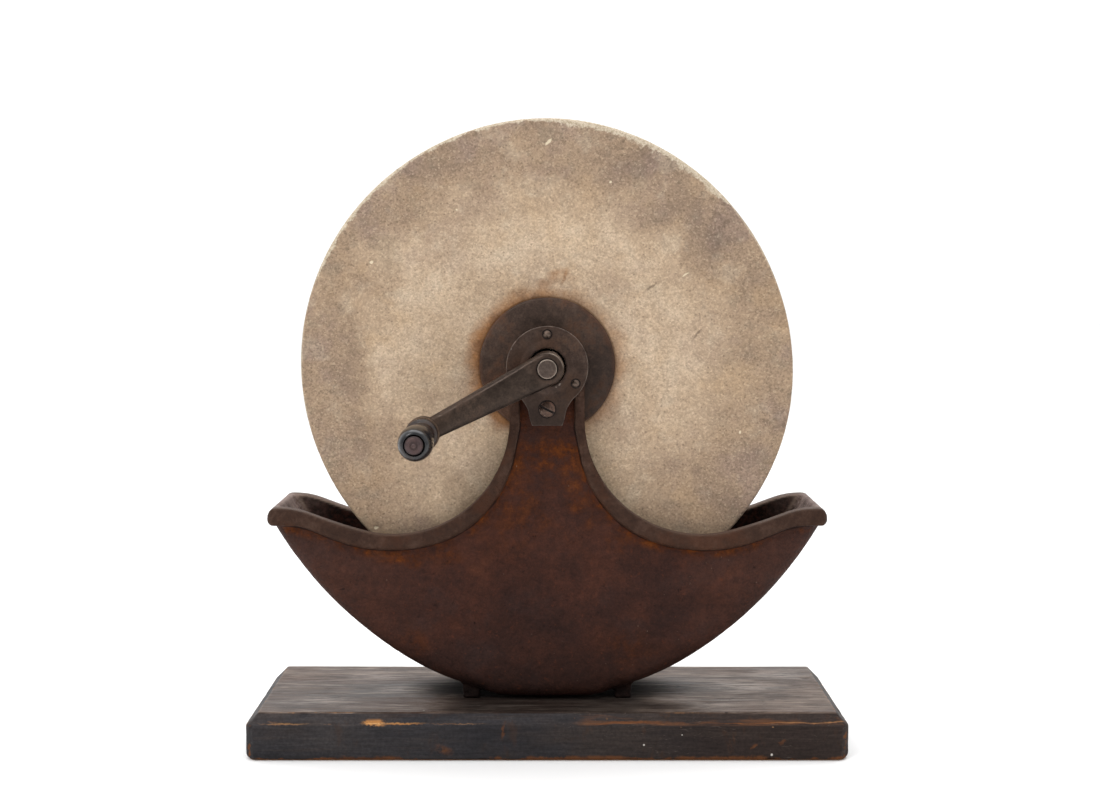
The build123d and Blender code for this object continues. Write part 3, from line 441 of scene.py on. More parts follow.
def mat_board():
    m = Mat("board_paint")
    x, y, z = m.xyz(m.co)
    ax, ay = m.math("ABSOLUTE", x), m.math("ABSOLUTE", y)
    L2, W2, T, C = 0.1831, 0.071, 0.028, 0.0072
    # grain runs along X
    gr = m.noise(60.0, 5.0, 0.62, v=m.scaled((0.10, 1.0, 1.0)))
    gr2 = m.noise(330.0, 4.0, 0.62, v=m.scaled((0.035, 1.0, 1.0)))
    gr3 = m.noise(900.0, 3.0, 0.6, v=m.scaled((0.05, 1.0, 1.0)))
    blot = m.noise(13.0, 5.0, 0.6, v=m.scaled((0.7, 1.6, 1.0)))
    nz = m.noise(120.0, 5.0, 0.7)
    nf = m.noise(480.0, 4.0, 0.7)
    up = m.rng(z, 0.0268, 0.0279)
    # sides: blue-black paint, browner to the right
    side = m.ramp(m.add(m.mul(gr, 0.5), m.mul(blot, 0.5)), [(0.30, srgb(31, 30, 33)), (0.50, srgb(44, 42, 44)), (0.72, srgb(60, 56, 55))])
    side = m.mix(m.mul(m.rng(x, 0.00, 0.13), 0.60), side, srgb(46, 34, 28))
    side = m.mix(m.mul(m.rng(gr2, 0.52, 0.72), 0.42), side, srgb(62, 54, 50))
    side = m.mix(m.mul(m.rng(m.noise(16.0, 4.0, 0.62, v=m.scaled((0.5, 1, 1.3), (4.0, 1.0, 2.2))), 0.52, 0.66), 0.5), side, srgb(58, 50, 46))
    # top: thin, rubbed paint, grey-brown in streaks, painted lighter than the sides for the sheen off its face
    top = m.ramp(m.add(m.mul(gr, 0.55), m.mul(gr2, 0.45)), [(0.30, srgb(42, 33, 29)), (0.45, srgb(72, 61, 55)), (0.58, srgb(100, 88, 80)), (0.74, srgb(134, 124, 116))])
    top = m.mix(m.mul(m.rng(blot, 0.50, 0.64), 0.60), top, srgb(126, 115, 107))
    top = m.mix(m.mul(m.rng(blot, 0.47, 0.34), 0.65), top, srgb(38, 28, 24))
    gp = m.noise(210.0, 4.0, 0.66, v=m.scaled((0.11, 1.0, 1.0), (0.7, 0.2, 0)))
    top = m.mix(m.mul(m.rng(gp, 0.53, 0.66), 0.60), top, srgb(152, 144, 137))
    top = m.mix(m.mul(m.rng(gp, 0.45, 0.33), 0.60), top, srgb(34, 24, 20))
    brown = m.mul(m.rng(m.noise(22.0, 4.0, 0.6, v=m.scaled((0.3, 1.2, 1), (2.0, 0.6, 0))), 0.50, 0.64), 0.5)
    top = m.mix(brown, top, srgb(66, 43, 32))
    # a pale rubbed place, and the ring that a can has left
    gf = m.noise(620.0, 4.0, 0.7, v=m.scaled((0.09, 1.0, 1.0), (0.2, 1.7, 0.5)))
    wxy = m.vmath("ADD", m.vec(x, 0.0, y), m.vmath("SCALE", m.vmath("SUBTRACT", m.noise(60.0, 4.0, 0.7, v=m.scaled((0.35, 1.0, 1.0)), color=True), (0.5, 0.5, 0.5)), scale=0.022))
    rubbed = None
    for cx, cy, rx, ry, amt in ((-0.088, -0.003, 0.020, 0.0075, 1.0), (-0.147, -0.038, 0.030, 0.0085, 0.75), (0.124, 0.005, 0.026, 0.016, 0.9),
                                (0.150, 0.040, 0.020, 0.020, 0.6), (-0.120, 0.030, 0.030, 0.014, 0.5), (0.100, -0.045, 0.020, 0.006, 0.6)):
        q = m.mul(m.blob(wxy, cx, cy, rx, ry, 0.8), amt)
        rubbed = q if rubbed is None else m.mx(rubbed, q)
    top = m.mix(m.mul(m.mul(rubbed, m.rng(gf, 0.40, 0.56)), 0.85), top, srgb(172, 165, 159))
    rg = m.vmath("LENGTH", m.vec(m.sub(x, 0.0797), m.sub(y, 0.0049), 0.0))
    ringm = m.mul(m.rng(rg, 0.0068, 0.0054), m.rng(rg, 0.0036, 0.0048))
    top = m.mix(m.mul(m.mul(ringm, m.rng(nz, 0.30, 0.55)), 0.75), top, srgb(24, 17, 14))
    # random pale and dark streaks and brown smears, then a painted contact shadow where the trough stands and just in
    # front of it
    top = m.mix(m.mul(m.rng(gf, 0.54, 0.66), 0.40), top, srgb(156, 146, 138))
    top = m.mix(m.mul(m.rng(gf, 0.46, 0.34), 0.60), top, srgb(30, 21, 17))
    smut = m.noise(36.0, 4.0, 0.65, v=m.scaled((0.45, 1.0, 1.0), (5.0, 2.0, 1.0)))
    top = m.mix(m.mul(m.rng(smut, 0.52, 0.64), 0.55), top, srgb(44, 31, 26))
    trough_shadow = m.rng(m.vmath("LENGTH", m.vec(m.mul(x, 0.50), y, 0.0)), 0.050, 0.026)
    shadow_ahead = m.rng(m.vmath("LENGTH", m.vec(m.mul(m.sub(x, 0.002), 0.74), m.mul(m.add(y, 0.040), 0.62), 0.0)), m.rng(smut, 0.30, 0.70, 0.052, 0.080), 0.034)
    top = m.mix(m.mul(m.mx(trough_shadow, m.mul(shadow_ahead, 0.86)), 0.90), top, srgb(14, 10, 9))
    crack = m.noise(150.0, 3.0, 0.6, v=m.scaled((0.05, 1.0, 1.0), (3.3, 0.8, 0.0)))
    crk = m.mul(m.rng(m.math("ABSOLUTE", m.sub(crack, 0.5)), 0.006, 0.002), m.rng(blot, 0.44, 0.56))
    top = m.mix(m.mul(crk, 0.75), top, srgb(20, 14, 12))
    side = m.mix(1.0, side, m.vmath("SCALE", (1, 1, 1), scale=m.rng(nf, 0.30, 0.70, 0.74, 1.26, smooth=False)), "MULTIPLY")
    side = m.mix(1.0, side, m.vmath("SCALE", (1, 1, 1), scale=m.rng(gf, 0.35, 0.65, 0.80, 1.22, smooth=False)), "MULTIPLY")
    side = m.mix(m.mul(m.rng(m.noise(90.0, 4.0, 0.7, v=m.scaled((1.0, 1.0, 0.35), (6.0, 0.0, 0.0))), 0.56, 0.70), m.rng(x, -0.06, 0.10, 0.25, 0.60)), side, srgb(66, 46, 34))
    top = m.mix(1.0, top, (1.12, 1.03, 0.97, 1.0), "MULTIPLY")
    side = m.mix(1.0, side, m.mix(m.rng(x, -0.05, 0.06), (1.06, 1.06, 1.06, 1.0), (0.97, 0.92, 0.88, 1.0)), "MULTIPLY")
    # the front chamfer painted lighter, as light falls on it; brown brush marks over it further right
    cham = m.mul(m.rng(z, T - C, T - C + 0.0010), m.rng(ay, W2 - C - 0.0006, W2 - C + 0.0006))
    side = m.mix(cham, side, m.mix(1.0, side, (1.20, 1.20, 1.20, 1.0), "MULTIPLY"))
    brush = m.noise(120.0, 4.0, 0.65, v=m.scaled((0.12, 1.0, 1.0), (6.1, 0.9, 2.2)))
    side = m.mix(m.mul(m.mul(cham, m.rng(brush, 0.52, 0.64)), m.rng(x, -0.01, 0.035, 0.10, 0.62)), side, srgb(98, 64, 42))
    base = m.mix(up, side, top)
    # bare wood where edges are rubbed through
    wood = m.ramp(m.add(m.mul(gr2, 0.6), m.mul(gr3, 0.4)), [(0.30, srgb(128, 78, 38)), (0.48, srgb(186, 130, 76)), (0.64, srgb(226, 176, 118))])
    woodd = m.mix(m.rng(nz, 0.35, 0.62), srgb(74, 44, 26), srgb(104, 64, 36))

    def edge(du, dv, width, lo, hi, src=None):
        d = m.vmath("LENGTH", m.vec(du, dv, 0.0))
        nn = src if src is not None else m.add(m.mul(gr2, 0.45), m.mul(nz, 0.55))
        wd = m.mul(m.rng(nn, lo, hi), width)
        return m.rng(d, wd, m.mul(wd, 0.45))
    zc = m.sub(z, T - C)
    long_ = m.add(m.mul(m.noise(30.0, 4.0, 0.6, v=m.scaled((0.35, 1.0, 1.0))), 0.6), m.mul(nz, 0.4))
    e_front = edge(m.sub(ay, W2), zc, 0.0010, 0.52, 0.66, long_)
    wobz = m.mul(m.sub(m.noise(90.0, 4.0, 0.65, v=m.scaled((0.30, 1.0, 1.0), (2.0, 0.0, 4.0))), 0.5), 0.0050)
    dline = m.math("ABSOLUTE", m.sub(m.add(z, wobz), T - C + 0.0019))
    thick = m.rng(m.add(m.mul(long_, 0.55), m.mul(m.noise(200.0, 3.0, 0.6, v=m.scaled((0.10, 1.0, 1.0))), 0.45)), 0.36, 0.64, 0.00008, 0.00095)
    line = m.mul(m.mul(m.rng(dline, thick, m.mul(thick, 0.35)), m.rng(ay, W2 - 0.0064, W2 - 0.0050)), m.mul(m.rng(nf, 0.25, 0.45, 0.55, 1.0), m.rng(m.noise(55.0, 4.0, 0.7, v=m.scaled((0.5, 1.0, 1.0), (1.0, 7.0, 3.0))), 0.36, 0.56, 0.25, 1.0)))
    e_frontr = m.mul(line, m.mx(m.rng(x, 0.010, 0.045), m.mul(m.mul(m.rng(x, -0.030, -0.060), m.rng(long_, 0.50, 0.62)), 0.8)))
    e_end = edge(m.sub(ax, L2), zc, 0.0016, 0.44, 0.60)
    e_top = edge(m.sub(ay, W2 - C), m.sub(z, T), 0.0009, 0.50, 0.64, long_)
    e_tend = edge(m.sub(ax, L2 - C), m.sub(z, T), 0.0012, 0.46, 0.60)
    e_bot = edge(m.sub(ay, W2), m.mul(z, 0.8), 0.0034, 0.36, 0.60, long_)
    e_bend = edge(m.sub(ax, L2), m.mul(z, 0.8), 0.0036, 0.40, 0.60)
    e_corn = edge(m.sub(ax, L2 - 0.0022), m.sub(ay, W2 - 0.0022), 0.0026, 0.42, 0.60)
    wear = m.mx(m.mx(e_front, e_end), m.mul(m.mx(e_top, e_tend), 0.8))
    wearb = m.mx(m.mx(e_bot, e_bend), e_corn)
    # the big rubbed patch on the front chamfer, and two small ones
    jit = m.vmath("ADD", m.co, m.vmath("SCALE", m.vmath("SUBTRACT", m.noise(140.0, 4.0, 0.7, color=True), (0.5, 0.5, 0.5)), scale=0.0065))
    front = m.rng(y, -0.0660, -0.0680)
    jit2 = m.vmath("ADD", jit, m.vmath("SCALE", m.vmath("SUBTRACT", m.noise(520.0, 3.0, 0.7, color=True), (0.5, 0.5, 0.5)), scale=0.0028))
    jit3 = m.vmath("ADD", m.vmath("SCALE", jit2, scale=0.35), m.vmath("SCALE", m.co, scale=0.65))
    p = m.mx(m.blob(jit2, -0.1054, 0.0229, 0.0070, 0.0016, 0.60), m.mul(m.blob(jit3, -0.0890, 0.0224, 0.0130, 0.0005, 0.9), 0.85))
    p = m.mx(p, m.mul(m.blob(jit3, -0.1590, 0.0220, 0.0130, 0.0004, 0.9), 0.45))
    p = m.mx(p, m.mul(m.blob(jit3, -0.0550, 0.0222, 0.0160, 0.0003, 0.9), 0.28))
    p = m.mul(p, front)
    p2 = m.mul(m.mx(m.blob(jit, 0.1420, 0.0110, 0.0030, 0.0012, 0.6, -25), m.blob(jit, 0.125, 0.0085, 0.0028, 0.0014, 0.6, -40)), front)
    p3 = m.mul(m.mx(m.blob(jit, -0.0267, 0.0180, 0.0009, 0.0046, 0.7, 8), m.mul(m.blob(jit, -0.0626, 0.0068, 0.0052, 0.0030, 0.9, 20), m.rng(nz, 0.40, 0.58))), front)
    base = m.mix(m.mul(m.mx(wearb, m.mul(m.mx(p2, p3), 0.7)), 0.85), base, woodd)
    base = m.mix(m.mul(wear, 0.72), base, m.mix(m.rng(nf, 0.40, 0.60), woodd, m.mix(0.45, wood, srgb(128, 108, 92))))
    base = m.mix(m.mul(e_frontr, 0.72), base, m.mix(m.rng(gr2, 0.38, 0.62), srgb(112, 68, 40), srgb(172, 122, 80)))
    base = m.mix(m.mul(p, m.rng(nf, 0.28, 0.48, 0.45, 0.96)), base, wood)
    # scratches and paint specks
    sc = m.noise(26.0, 2.0, 0.5, v=m.scaled((1.0, 9.0, 9.0), (1, 5, 2)))
    scr = m.mul(m.rng(m.math("ABSOLUTE", m.sub(sc, 0.5)), 0.0045, 0.0015), m.rng(m.noise(17.0, 2.0), 0.52, 0.60))
    base = m.mix(m.mul(scr, 0.30), base, srgb(112, 100, 92))
    vs = m.voro(120.0)
    vc = m.xyz(m.voro(120.0, out="Color"))
    base = m.mix(m.mul(m.mul(m.rng(vs, 0.070, 0.045), m.rng(vc[0], 0.965, 0.975)), 0.8), base, srgb(186, 180, 172))
    base = m.mix(m.mul(m.mul(m.rng(vs, 0.12, 0.06), m.rng(vc[1], 0.92, 0.95)), 0.45), base, srgb(112, 78, 52))
    dots = None
    for cx, cz, r in ((0.1358, 0.0037, 0.0008), (0.0585, 0.0098, 0.0006), (0.0814, 0.0159, 0.0004)):
        q = m.blob(m.vmath("ADD", m.vmath("SCALE", jit, scale=0.12), m.vmath("SCALE", m.co, scale=0.88)), cx, cz, r, r, 0.5)
        dots = q if dots is None else m.mx(dots, q)
    base = m.mix(m.mul(m.mul(dots, front), 0.9), base, srgb(206, 200, 192))
    # underside and screw wells: bare, dirty wood
    under = m.rng(z, 0.0009, 0.0003)
    ring = m.noise(26.0, 5.0, 0.6, v=m.scaled((0.08, 1.0, 1.0), (0.3, 0, 0)))
    bare = m.ramp(m.add(m.mul(ring, 0.55), m.mul(gr2, 0.45)), [(0.30, srgb(92, 62, 38)), (0.52, srgb(134, 96, 62)), (0.74, srgb(164, 124, 84))])
    base = m.mix(under, base, bare)
    allwear = m.clamp(m.add(m.mx(m.mx(wear, e_frontr), wearb), m.add(p, under)))
    h = m.add(m.mul(gr2, 0.5), m.add(m.mul(gr3, 0.35), m.add(m.mul(nf, 0.30), m.mul(m.mx(scr, m.mul(crk, up)), -0.5))))
    h = m.sub(h, m.mul(allwear, 0.30))
    n = m.bump(h, 0.75, 0.0006)
    r = m.mixf(up, m.rng(gr2, 0.3, 0.7, 0.46, 0.60), m.rng(m.add(m.mul(blot, 0.5), m.mul(gr2, 0.5)), 0.35, 0.65, 0.30, 0.52))
    r = m.mixf(allwear, r, 0.78)
    r = m.mixf(m.mul(up, m.mx(trough_shadow, shadow_ahead)), r, 0.95)
    return m.done(base, r, n, spec=0.10)


def mat_iron(name, dark, mid_, light, rustc, rust_amt=0.35, rough=(0.34, 0.56), metallic=0.55, scale=1.0,
             spec=0.4, edge_amt=0.55, grit=0.35, zone=None, hollow=0.6, painted_shade=None, painted_highlight=None):
    """Old bare iron or steel: patina in three tones, rust freckles, rubbed arrises with a painted highlight, hollows
    with dirt and painted shade, and optional painted shade and painted highlight masks.
    """
    m = Mat(name)
    n1 = m.noise(45.0 * scale, 5.0, 0.62)
    n2 = m.noise(210.0 * scale, 5.0, 0.66)
    n3 = m.noise(900.0 * scale, 3.0, 0.65)
    base = m.ramp(m.add(m.mul(n1, 0.5), m.mul(n2, 0.5)), [(0.30, dark), (0.50, mid_), (0.72, light)])
    r = m.mul(m.rng(n1, 0.46, 0.62), m.rng(n2, 0.40, 0.62))
    if zone is not None:
        r = m.clamp(m.add(r, zone(m)))
    base = m.mix(m.mul(r, rust_amt), base, rustc)
    base = m.mix(1.0, base, m.vmath("SCALE", (1, 1, 1), scale=m.rng(n3, 0.3, 0.7, 0.76, 1.24, smooth=False)), "MULTIPLY")
    if edge_amt > 0:
        pt = m.point()
        # arrises lightened by pointiness: rubbed wear with a painted highlight
        edge = m.mul(m.rng(pt, 0.515, 0.56), m.rng(n2, 0.30, 0.58))
        base = m.mix(m.mul(edge, edge_amt), base, m.mix(0.5, light, srgb(168, 156, 146)))
        # hollows darkened by pointiness: dirt in the crevices and painted shade
        cav = m.rng(pt, 0.490, 0.455)
        base = m.mix(m.mul(cav, hollow), base, srgb(20, 15, 12))
    # painted shade from the mask given
    if painted_shade is not None:
        base = m.mix(m.mul(m.clamp(painted_shade(m)), 0.90), base, srgb(16, 11, 9))
    # painted highlight from the mask given
    if painted_highlight is not None:
        base = m.mix(m.mul(m.clamp(painted_highlight(m)), m.rng(n2, 0.28, 0.55, 0.45, 1.0)), base, srgb(150, 136, 124))
    pn = m.noise(620.0 * scale, 3.0, 0.6, v=m.scaled((1, 1, 1), (2.1, 0.4, 1.3)))
    pit = m.rng(pn, 0.36, 0.27)
    base = m.mix(m.mul(pit, 0.55), base, srgb(26, 18, 15))
    h = m.add(m.mul(n2, 0.6), m.add(m.mul(n3, 0.25), m.mul(pit, -0.5)))
    n = m.bump(h, grit, 0.0004)
    ro = m.add(m.rng(n2, 0.3, 0.7, rough[0], rough[1]), m.mul(r, 0.18))
    met = m.math("MULTIPLY", m.sub(1.0, m.mul(r, rust_amt)), metallic)
    return m.done(base, ro, n, metallic=met, spec=spec)


def mat_grip():
    m = Mat("grip_black")
    x, y, z = m.xyz(m.co)
    n1 = m.noise(70.0, 4.0, 0.6)
    # turning marks run round the axis
    turn = m.noise(1400.0, 2.0, 0.6, v=m.vec(0.0, y, 0.0))
    n3 = m.noise(600.0, 4.0, 0.7)
    base = m.ramp(n1, [(0.30, srgb(13, 14, 16)), (0.55, srgb(23, 24, 27)), (0.78, srgb(36, 32, 31))])
    rub = m.mul(m.rng(m.noise(38.0, 4.0, 0.6), 0.52, 0.66), m.rng(n3, 0.40, 0.60))
    base = m.mix(m.mul(rub, 0.28), base, srgb(72, 54, 42))
    base = m.mix(m.mul(m.rng(y, -0.0900, -0.0800), m.mul(m.rng(n3, 0.30, 0.62), 0.85)), base, srgb(50, 31, 20))
    vs = m.voro(240.0)
    vc = m.xyz(m.voro(240.0, out="Color"))
    fleck = m.mul(m.rng(vs, 0.20, 0.10), m.rng(vc[0], 0.90, 0.94))
    base = m.mix(m.mul(fleck, 0.6), base, srgb(112, 92, 74))
    h = m.add(m.mul(turn, 0.3), m.add(m.mul(n3, 0.25), m.mul(fleck, -0.5)))
    n = m.bump(h, 0.20, 0.0003)
    return m.done(base, m.add(m.add(m.rng(n1, 0.3, 0.7, 0.16, 0.28), m.mul(rub, 0.20)), m.rng(y, -0.0920, -0.0800, 0.0, 0.10)), n, spec=0.50)


def mat_wood(name):
    m = Mat(name)
    gr = m.noise(300.0, 4.0, 0.6, v=m.scaled((1.0, 0.06, 1.0)))
    gr2 = m.noise(900.0, 3.0, 0.6, v=m.scaled((1.0, 0.05, 1.0)))
    base = m.ramp(m.add(m.mul(gr, 0.6), m.mul(gr2, 0.4)), [(0.3, srgb(84, 56, 34)), (0.55, srgb(130, 92, 58)), (0.75, srgb(160, 122, 82))])
    n = m.bump(m.add(gr, gr2), 0.3, 0.0003)
    return m.done(base, m.rng(gr, 0.3, 0.7, 0.62, 0.8), n, spec=0.3)


def head_corner_shade(m, places, wide):
    """Painted shade in the corner round each head: x, z, head radius."""
    x, y, z = m.xyz(m.co)
    out = None
    for cx, cz, r in places:
        d = m.vmath("LENGTH", m.vec(m.sub(x, cx), 0.0, m.sub(z, cz)))
        q = m.rng(d, r + wide, r + wide * 0.25)
        out = q if out is None else m.mx(out, q)
    return out


def flange_zone(m):
    """Extra rust low on the left and along the flange's outer edge."""
    x, y, z = m.xyz(m.co)
    zz = m.sub(z, ZC)
    rad = m.vmath("LENGTH", m.vec(x, 0.0, zz))
    a = m.blob(m.co, -0.030, ZC - 0.022, 0.016, 0.020, 0.9)
    e = m.mul(m.rng(rad, 0.0385, 0.0418), m.rng(m.noise(60.0, 3.0), 0.42, 0.58))
    return m.mx(m.mul(a, 0.9), m.mul(e, 0.8))


def plate_zone(m):
    """Brown bloom round the rivets and above the tail."""
    a = m.blob(m.co, 0.0, ZC + 0.0145, 0.008, 0.006, 0.9)
    b = m.blob(m.co, 0.0155, ZC - 0.012, 0.007, 0.009, 0.9)
    c = m.blob(m.co, -0.016, ZC + 0.002, 0.008, 0.010, 0.9)
    return m.mul(m.mx(m.mx(a, b), c), 0.75)


def plate_shade(m):
    """Painted shade in the corners round the heads and on the side away from the light, and a duller, darker tail."""
    x, y, z = m.xyz(m.co)
    heads = [(0.020 * math.cos(math.radians(a)), ZC + 0.020 * math.sin(math.radians(a)), 0.00245) for a in (90, -30, -150)]
    q = head_corner_shade(m, heads + [(0.0, 0.2111, 0.0049)], 0.0012)
    tail = m.mul(m.rng(z, 0.2190, 0.2090), 0.48)
    lee = m.mul(m.blob(m.co, 0.012, ZC - 0.016, 0.016, 0.010, 0.9, -30), 0.35)
    return m.mx(m.mx(q, tail), lee)


def flange_lee_shade(m):
    """Painted shade on the side away from the light."""
    lee = m.blob(m.co, 0.032, ZC - 0.012, 0.036, 0.040, 0.9, 20)
    return m.mul(m.mul(lee, m.rng(m.noise(60.0, 4.0, 0.6), 0.30, 0.62, 0.5, 1.0)), 0.62)


def crank_shade(m):
    """Painted shade along the under side, and a dark ring round the axle."""
    a = m.mul(m.attr("below"), 0.55)
    x, y, z = m.xyz(m.co)
    d = m.vmath("LENGTH", m.vec(x, 0.0, m.sub(z, ZC)))
    ring = m.mul(m.rng(d, 0.0076, 0.0064), 0.75)
    return m.mx(a, ring)


def slot_shade(m):
    """Painted shade in the front plate screw's slot."""
    x, y, z = m.xyz(m.co)
    dz = m.sub(z, 0.2111)
    a = math.radians(28)
    off = m.math("ABSOLUTE", m.add(m.mul(x, math.sin(a)), m.mul(dz, math.cos(a))))
    near = m.rng(m.vmath("LENGTH", m.vec(x, 0.0, dz)), 0.0052, 0.0047)
    return m.mul(m.mul(m.rng(off, 0.00085, 0.00055), near), m.rng(y, 0.0, -0.001))


def spindle_shade(m):
    """Painted shade in the groove round the nib on the riveted end, and darker out at its rim."""
    x, y, z = m.xyz(m.co)
    d = m.vmath("LENGTH", m.vec(m.sub(x, PX), 0.0, m.sub(z, PZ)))
    return m.mx(m.mul(m.mul(m.rng(d, 0.0028, 0.0022), m.rng(d, 0.0010, 0.0015)), 0.45), m.mul(m.rng(d, 0.0043, 0.0053), 0.65))


def axle_rim_highlight(m):
    """Painted highlight along the rim of the axle's end."""
    x, y, z = m.xyz(m.co)
    d = m.vmath("LENGTH", m.vec(x, 0.0, m.sub(z, ZC)))
    return m.mul(m.mul(m.rng(d, 0.0050, 0.0055), m.rng(d, 0.0063, 0.0059)), 0.75)


def hub_arc_highlight(m):
    """Painted highlight on the hub's front edge, on its upper right."""
    x, y, z = m.xyz(m.co)
    d = m.vmath("LENGTH", m.vec(x, 0.0, m.sub(z, ZC)))
    arc = m.mul(m.rng(d, 0.0090, 0.0096), m.rng(d, 0.0106, 0.0101))
    away = m.vmath("LENGTH", m.vec(m.sub(x, 0.0070), 0.0, m.sub(z, ZC + 0.0070)))
    return m.mul(m.mul(arc, m.rng(away, 0.0085, 0.0040)), 0.60)


def crank_zone(m):
    a = m.blob(m.co, PX, PZ, 0.012, 0.012, 0.9)
    b = m.mul(m.blob(m.co, 0.0, ZC, 0.0085, 0.0085, 0.5), 0.8)
    return m.mx(a, b)


RUST = srgb(88, 52, 30)
M = {
    "sandstone": mat_sandstone(),
    "trough_iron": mat_trough(),
    "board_paint": mat_board(),
    "flange_iron": mat_iron("flange_iron", srgb(44, 33, 27), srgb(69, 54, 46), srgb(98, 81, 71), srgb(90, 53, 29), 0.46,
                            rough=(0.42, 0.62), metallic=0.35, spec=0.22, edge_amt=0.30, grit=0.60, zone=flange_zone, painted_shade=flange_lee_shade),
    "plate_steel": mat_iron("plate_steel", srgb(46, 34, 28), srgb(66, 52, 45), srgb(90, 76, 68), srgb(78, 50, 31), 0.55,
                            rough=(0.32, 0.48), metallic=0.55, spec=0.22, edge_amt=1.0, grit=0.42, zone=plate_zone, painted_shade=plate_shade),
    "rivet_steel": mat_iron("rivet_steel", srgb(58, 46, 40), srgb(92, 78, 69), srgb(132, 118, 106), RUST, 0.35,
                            rough=(0.22, 0.38), metallic=0.8, scale=2.0, edge_amt=0.30, grit=0.2),
    "screw_steel": mat_iron("screw_steel", srgb(54, 40, 33), srgb(82, 64, 55), srgb(118, 100, 88), srgb(96, 52, 30), 0.50,
                            rough=(0.24, 0.40), metallic=0.7, scale=2.0, edge_amt=0.60, grit=0.25, hollow=0.9, painted_shade=slot_shade),
    "bearing_steel": mat_iron("bearing_steel", srgb(44, 38, 34), srgb(62, 54, 48), srgb(88, 78, 70), RUST, 0.25,
                              rough=(0.28, 0.42), metallic=0.8),
    "ball_steel": mat_iron("ball_steel", srgb(116, 108, 100), srgb(150, 142, 132), srgb(178, 170, 160), RUST, 0.15,
                           rough=(0.16, 0.28), metallic=1.0, scale=2.0, grit=0.08, edge_amt=0.0),
    "axle_steel": mat_iron("axle_steel", srgb(60, 50, 44), srgb(84, 72, 65), srgb(112, 99, 90), RUST, 0.30,
                           rough=(0.28, 0.42), metallic=0.75, edge_amt=1.0, grit=0.25, painted_highlight=axle_rim_highlight),
    "crank_iron": mat_iron("crank_iron", srgb(43, 34, 29), srgb(60, 49, 42), srgb(84, 71, 62), srgb(72, 50, 36), 0.45,
                           rough=(0.28, 0.42), metallic=0.65, spec=0.25, edge_amt=0.40, grit=0.42, zone=crank_zone, painted_shade=crank_shade, painted_highlight=hub_arc_highlight),
    "spindle_steel": mat_iron("spindle_steel", srgb(50, 39, 38), srgb(70, 57, 57), srgb(92, 79, 79), srgb(76, 50, 40), 0.35,
                              rough=(0.30, 0.46), metallic=0.60, spec=0.25, scale=1.5, edge_amt=0.6, painted_shade=spindle_shade),
    "washer_steel": mat_iron("washer_steel", srgb(58, 46, 38), srgb(84, 68, 56), srgb(122, 104, 86), RUST, 0.4,
                             rough=(0.28, 0.44), metallic=0.80, edge_amt=0.5),
    "grip_black": mat_grip(),
    "wedge_wood": mat_wood("wedge_wood"),
}


# =============================================================================
# mesh helpers
# =============================================================================
def from_node(name, new_name, voxel, smooth=2, factor=0.5):
    """A new mesh with the CAD node's own shape, evenly re-meshed and softened like a casting."""
    src = NODES[name]
    me = src.data.copy()
    ob = bpy.data.objects.new(new_name + "_src", me)
    bpy.context.scene.collection.objects.link(ob)
    bm = bmesh.new()
    bm.from_mesh(me)
    bmesh.ops.remove_doubles(bm, verts=bm.verts, dist=1e-6)
    bm.to_mesh(me)
    bm.free()
    r = ob.modifiers.new("r", "REMESH")
    r.mode = "VOXEL"
    r.voxel_size = voxel
    r.adaptivity = 0.0
    if smooth:
        s = ob.modifiers.new("s", "SMOOTH")
        s.factor = factor
        s.iterations = smooth
    dg = bpy.context.evaluated_depsgraph_get()
    out = bpy.data.meshes.new_from_object(ob.evaluated_get(dg))
    bpy.data.objects.remove(ob)
    new = bpy.data.objects.new(new_name, out)
    bpy.context.scene.collection.objects.link(new)
    return new


def coords(me):
    a = np.empty(len(me.vertices) * 3)
    me.vertices.foreach_get("co", a)
    return a.reshape(-1, 3)


def normals(me):
    a = np.empty(len(me.vertices) * 3)
    me.vertices.foreach_get("normal", a)
    return a.reshape(-1, 3)


def set_coords(me, a):
    me.vertices.foreach_set("co", np.ascontiguousarray(a, dtype=np.float64).ravel())
    me.update()


def field(pts, scale, octaves=2, off=(0.0, 0.0, 0.0)):
    """Smooth noise, about -1 to 1, at each point."""
    o = Vector(off)
    f = mnoise.fractal
    return np.array([f(Vector(p) * scale + o, 1.0, 2.0, octaves) for p in pts])


def put_attr(me, name, vals):
    at = me.attributes.new(name, "FLOAT", "POINT")
    at.data.foreach_set("value", np.ascontiguousarray(vals, dtype=np.float32))


def sstep(v, a, b):
    t = np.clip((v - a) / (b - a), 0, 1)
    return t * t * (3 - 2 * t)


def finish_piece(ob, slot, body, *nodes, smooth=True):
    ob.data.materials.clear()
    ob.data.materials.append(M[slot])
    if smooth:
        ob.data.shade_smooth()
    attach(ob, body)
    if nodes:
        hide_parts(*nodes)
    return ob


def poly_dist(P, poly):
    """Distance from each 2-D point to a polyline."""
    best = np.full(len(P), 1e9)
    for a, b in zip(poly[:-1], poly[1:]):
        ab = b - a
        t = np.clip(((P - a) @ ab) / (ab @ ab), 0, 1)
        d = np.hypot(*(P - (a + t[:, None] * ab)).T)
        best = np.minimum(best, d)
    return best


# =============================================================================
# grindstone: a worn, slightly out-of-round disc with a rubbed front arris
# =============================================================================
# how far the worn rim stands from the true radius, mm, every 15 degrees from +X towards +Z
RIM_WEAR = (0.21, -1.03, -1.61, -1.60, -1.29, -0.75, -0.31, -0.27, -0.24, 0.17, 0.60, 0.70,
            0.59, 0.39, 0.19, 0.26, 0.55, 0.77, 0.89, 1.12, 1.34, 1.51, 1.65, 1.32)


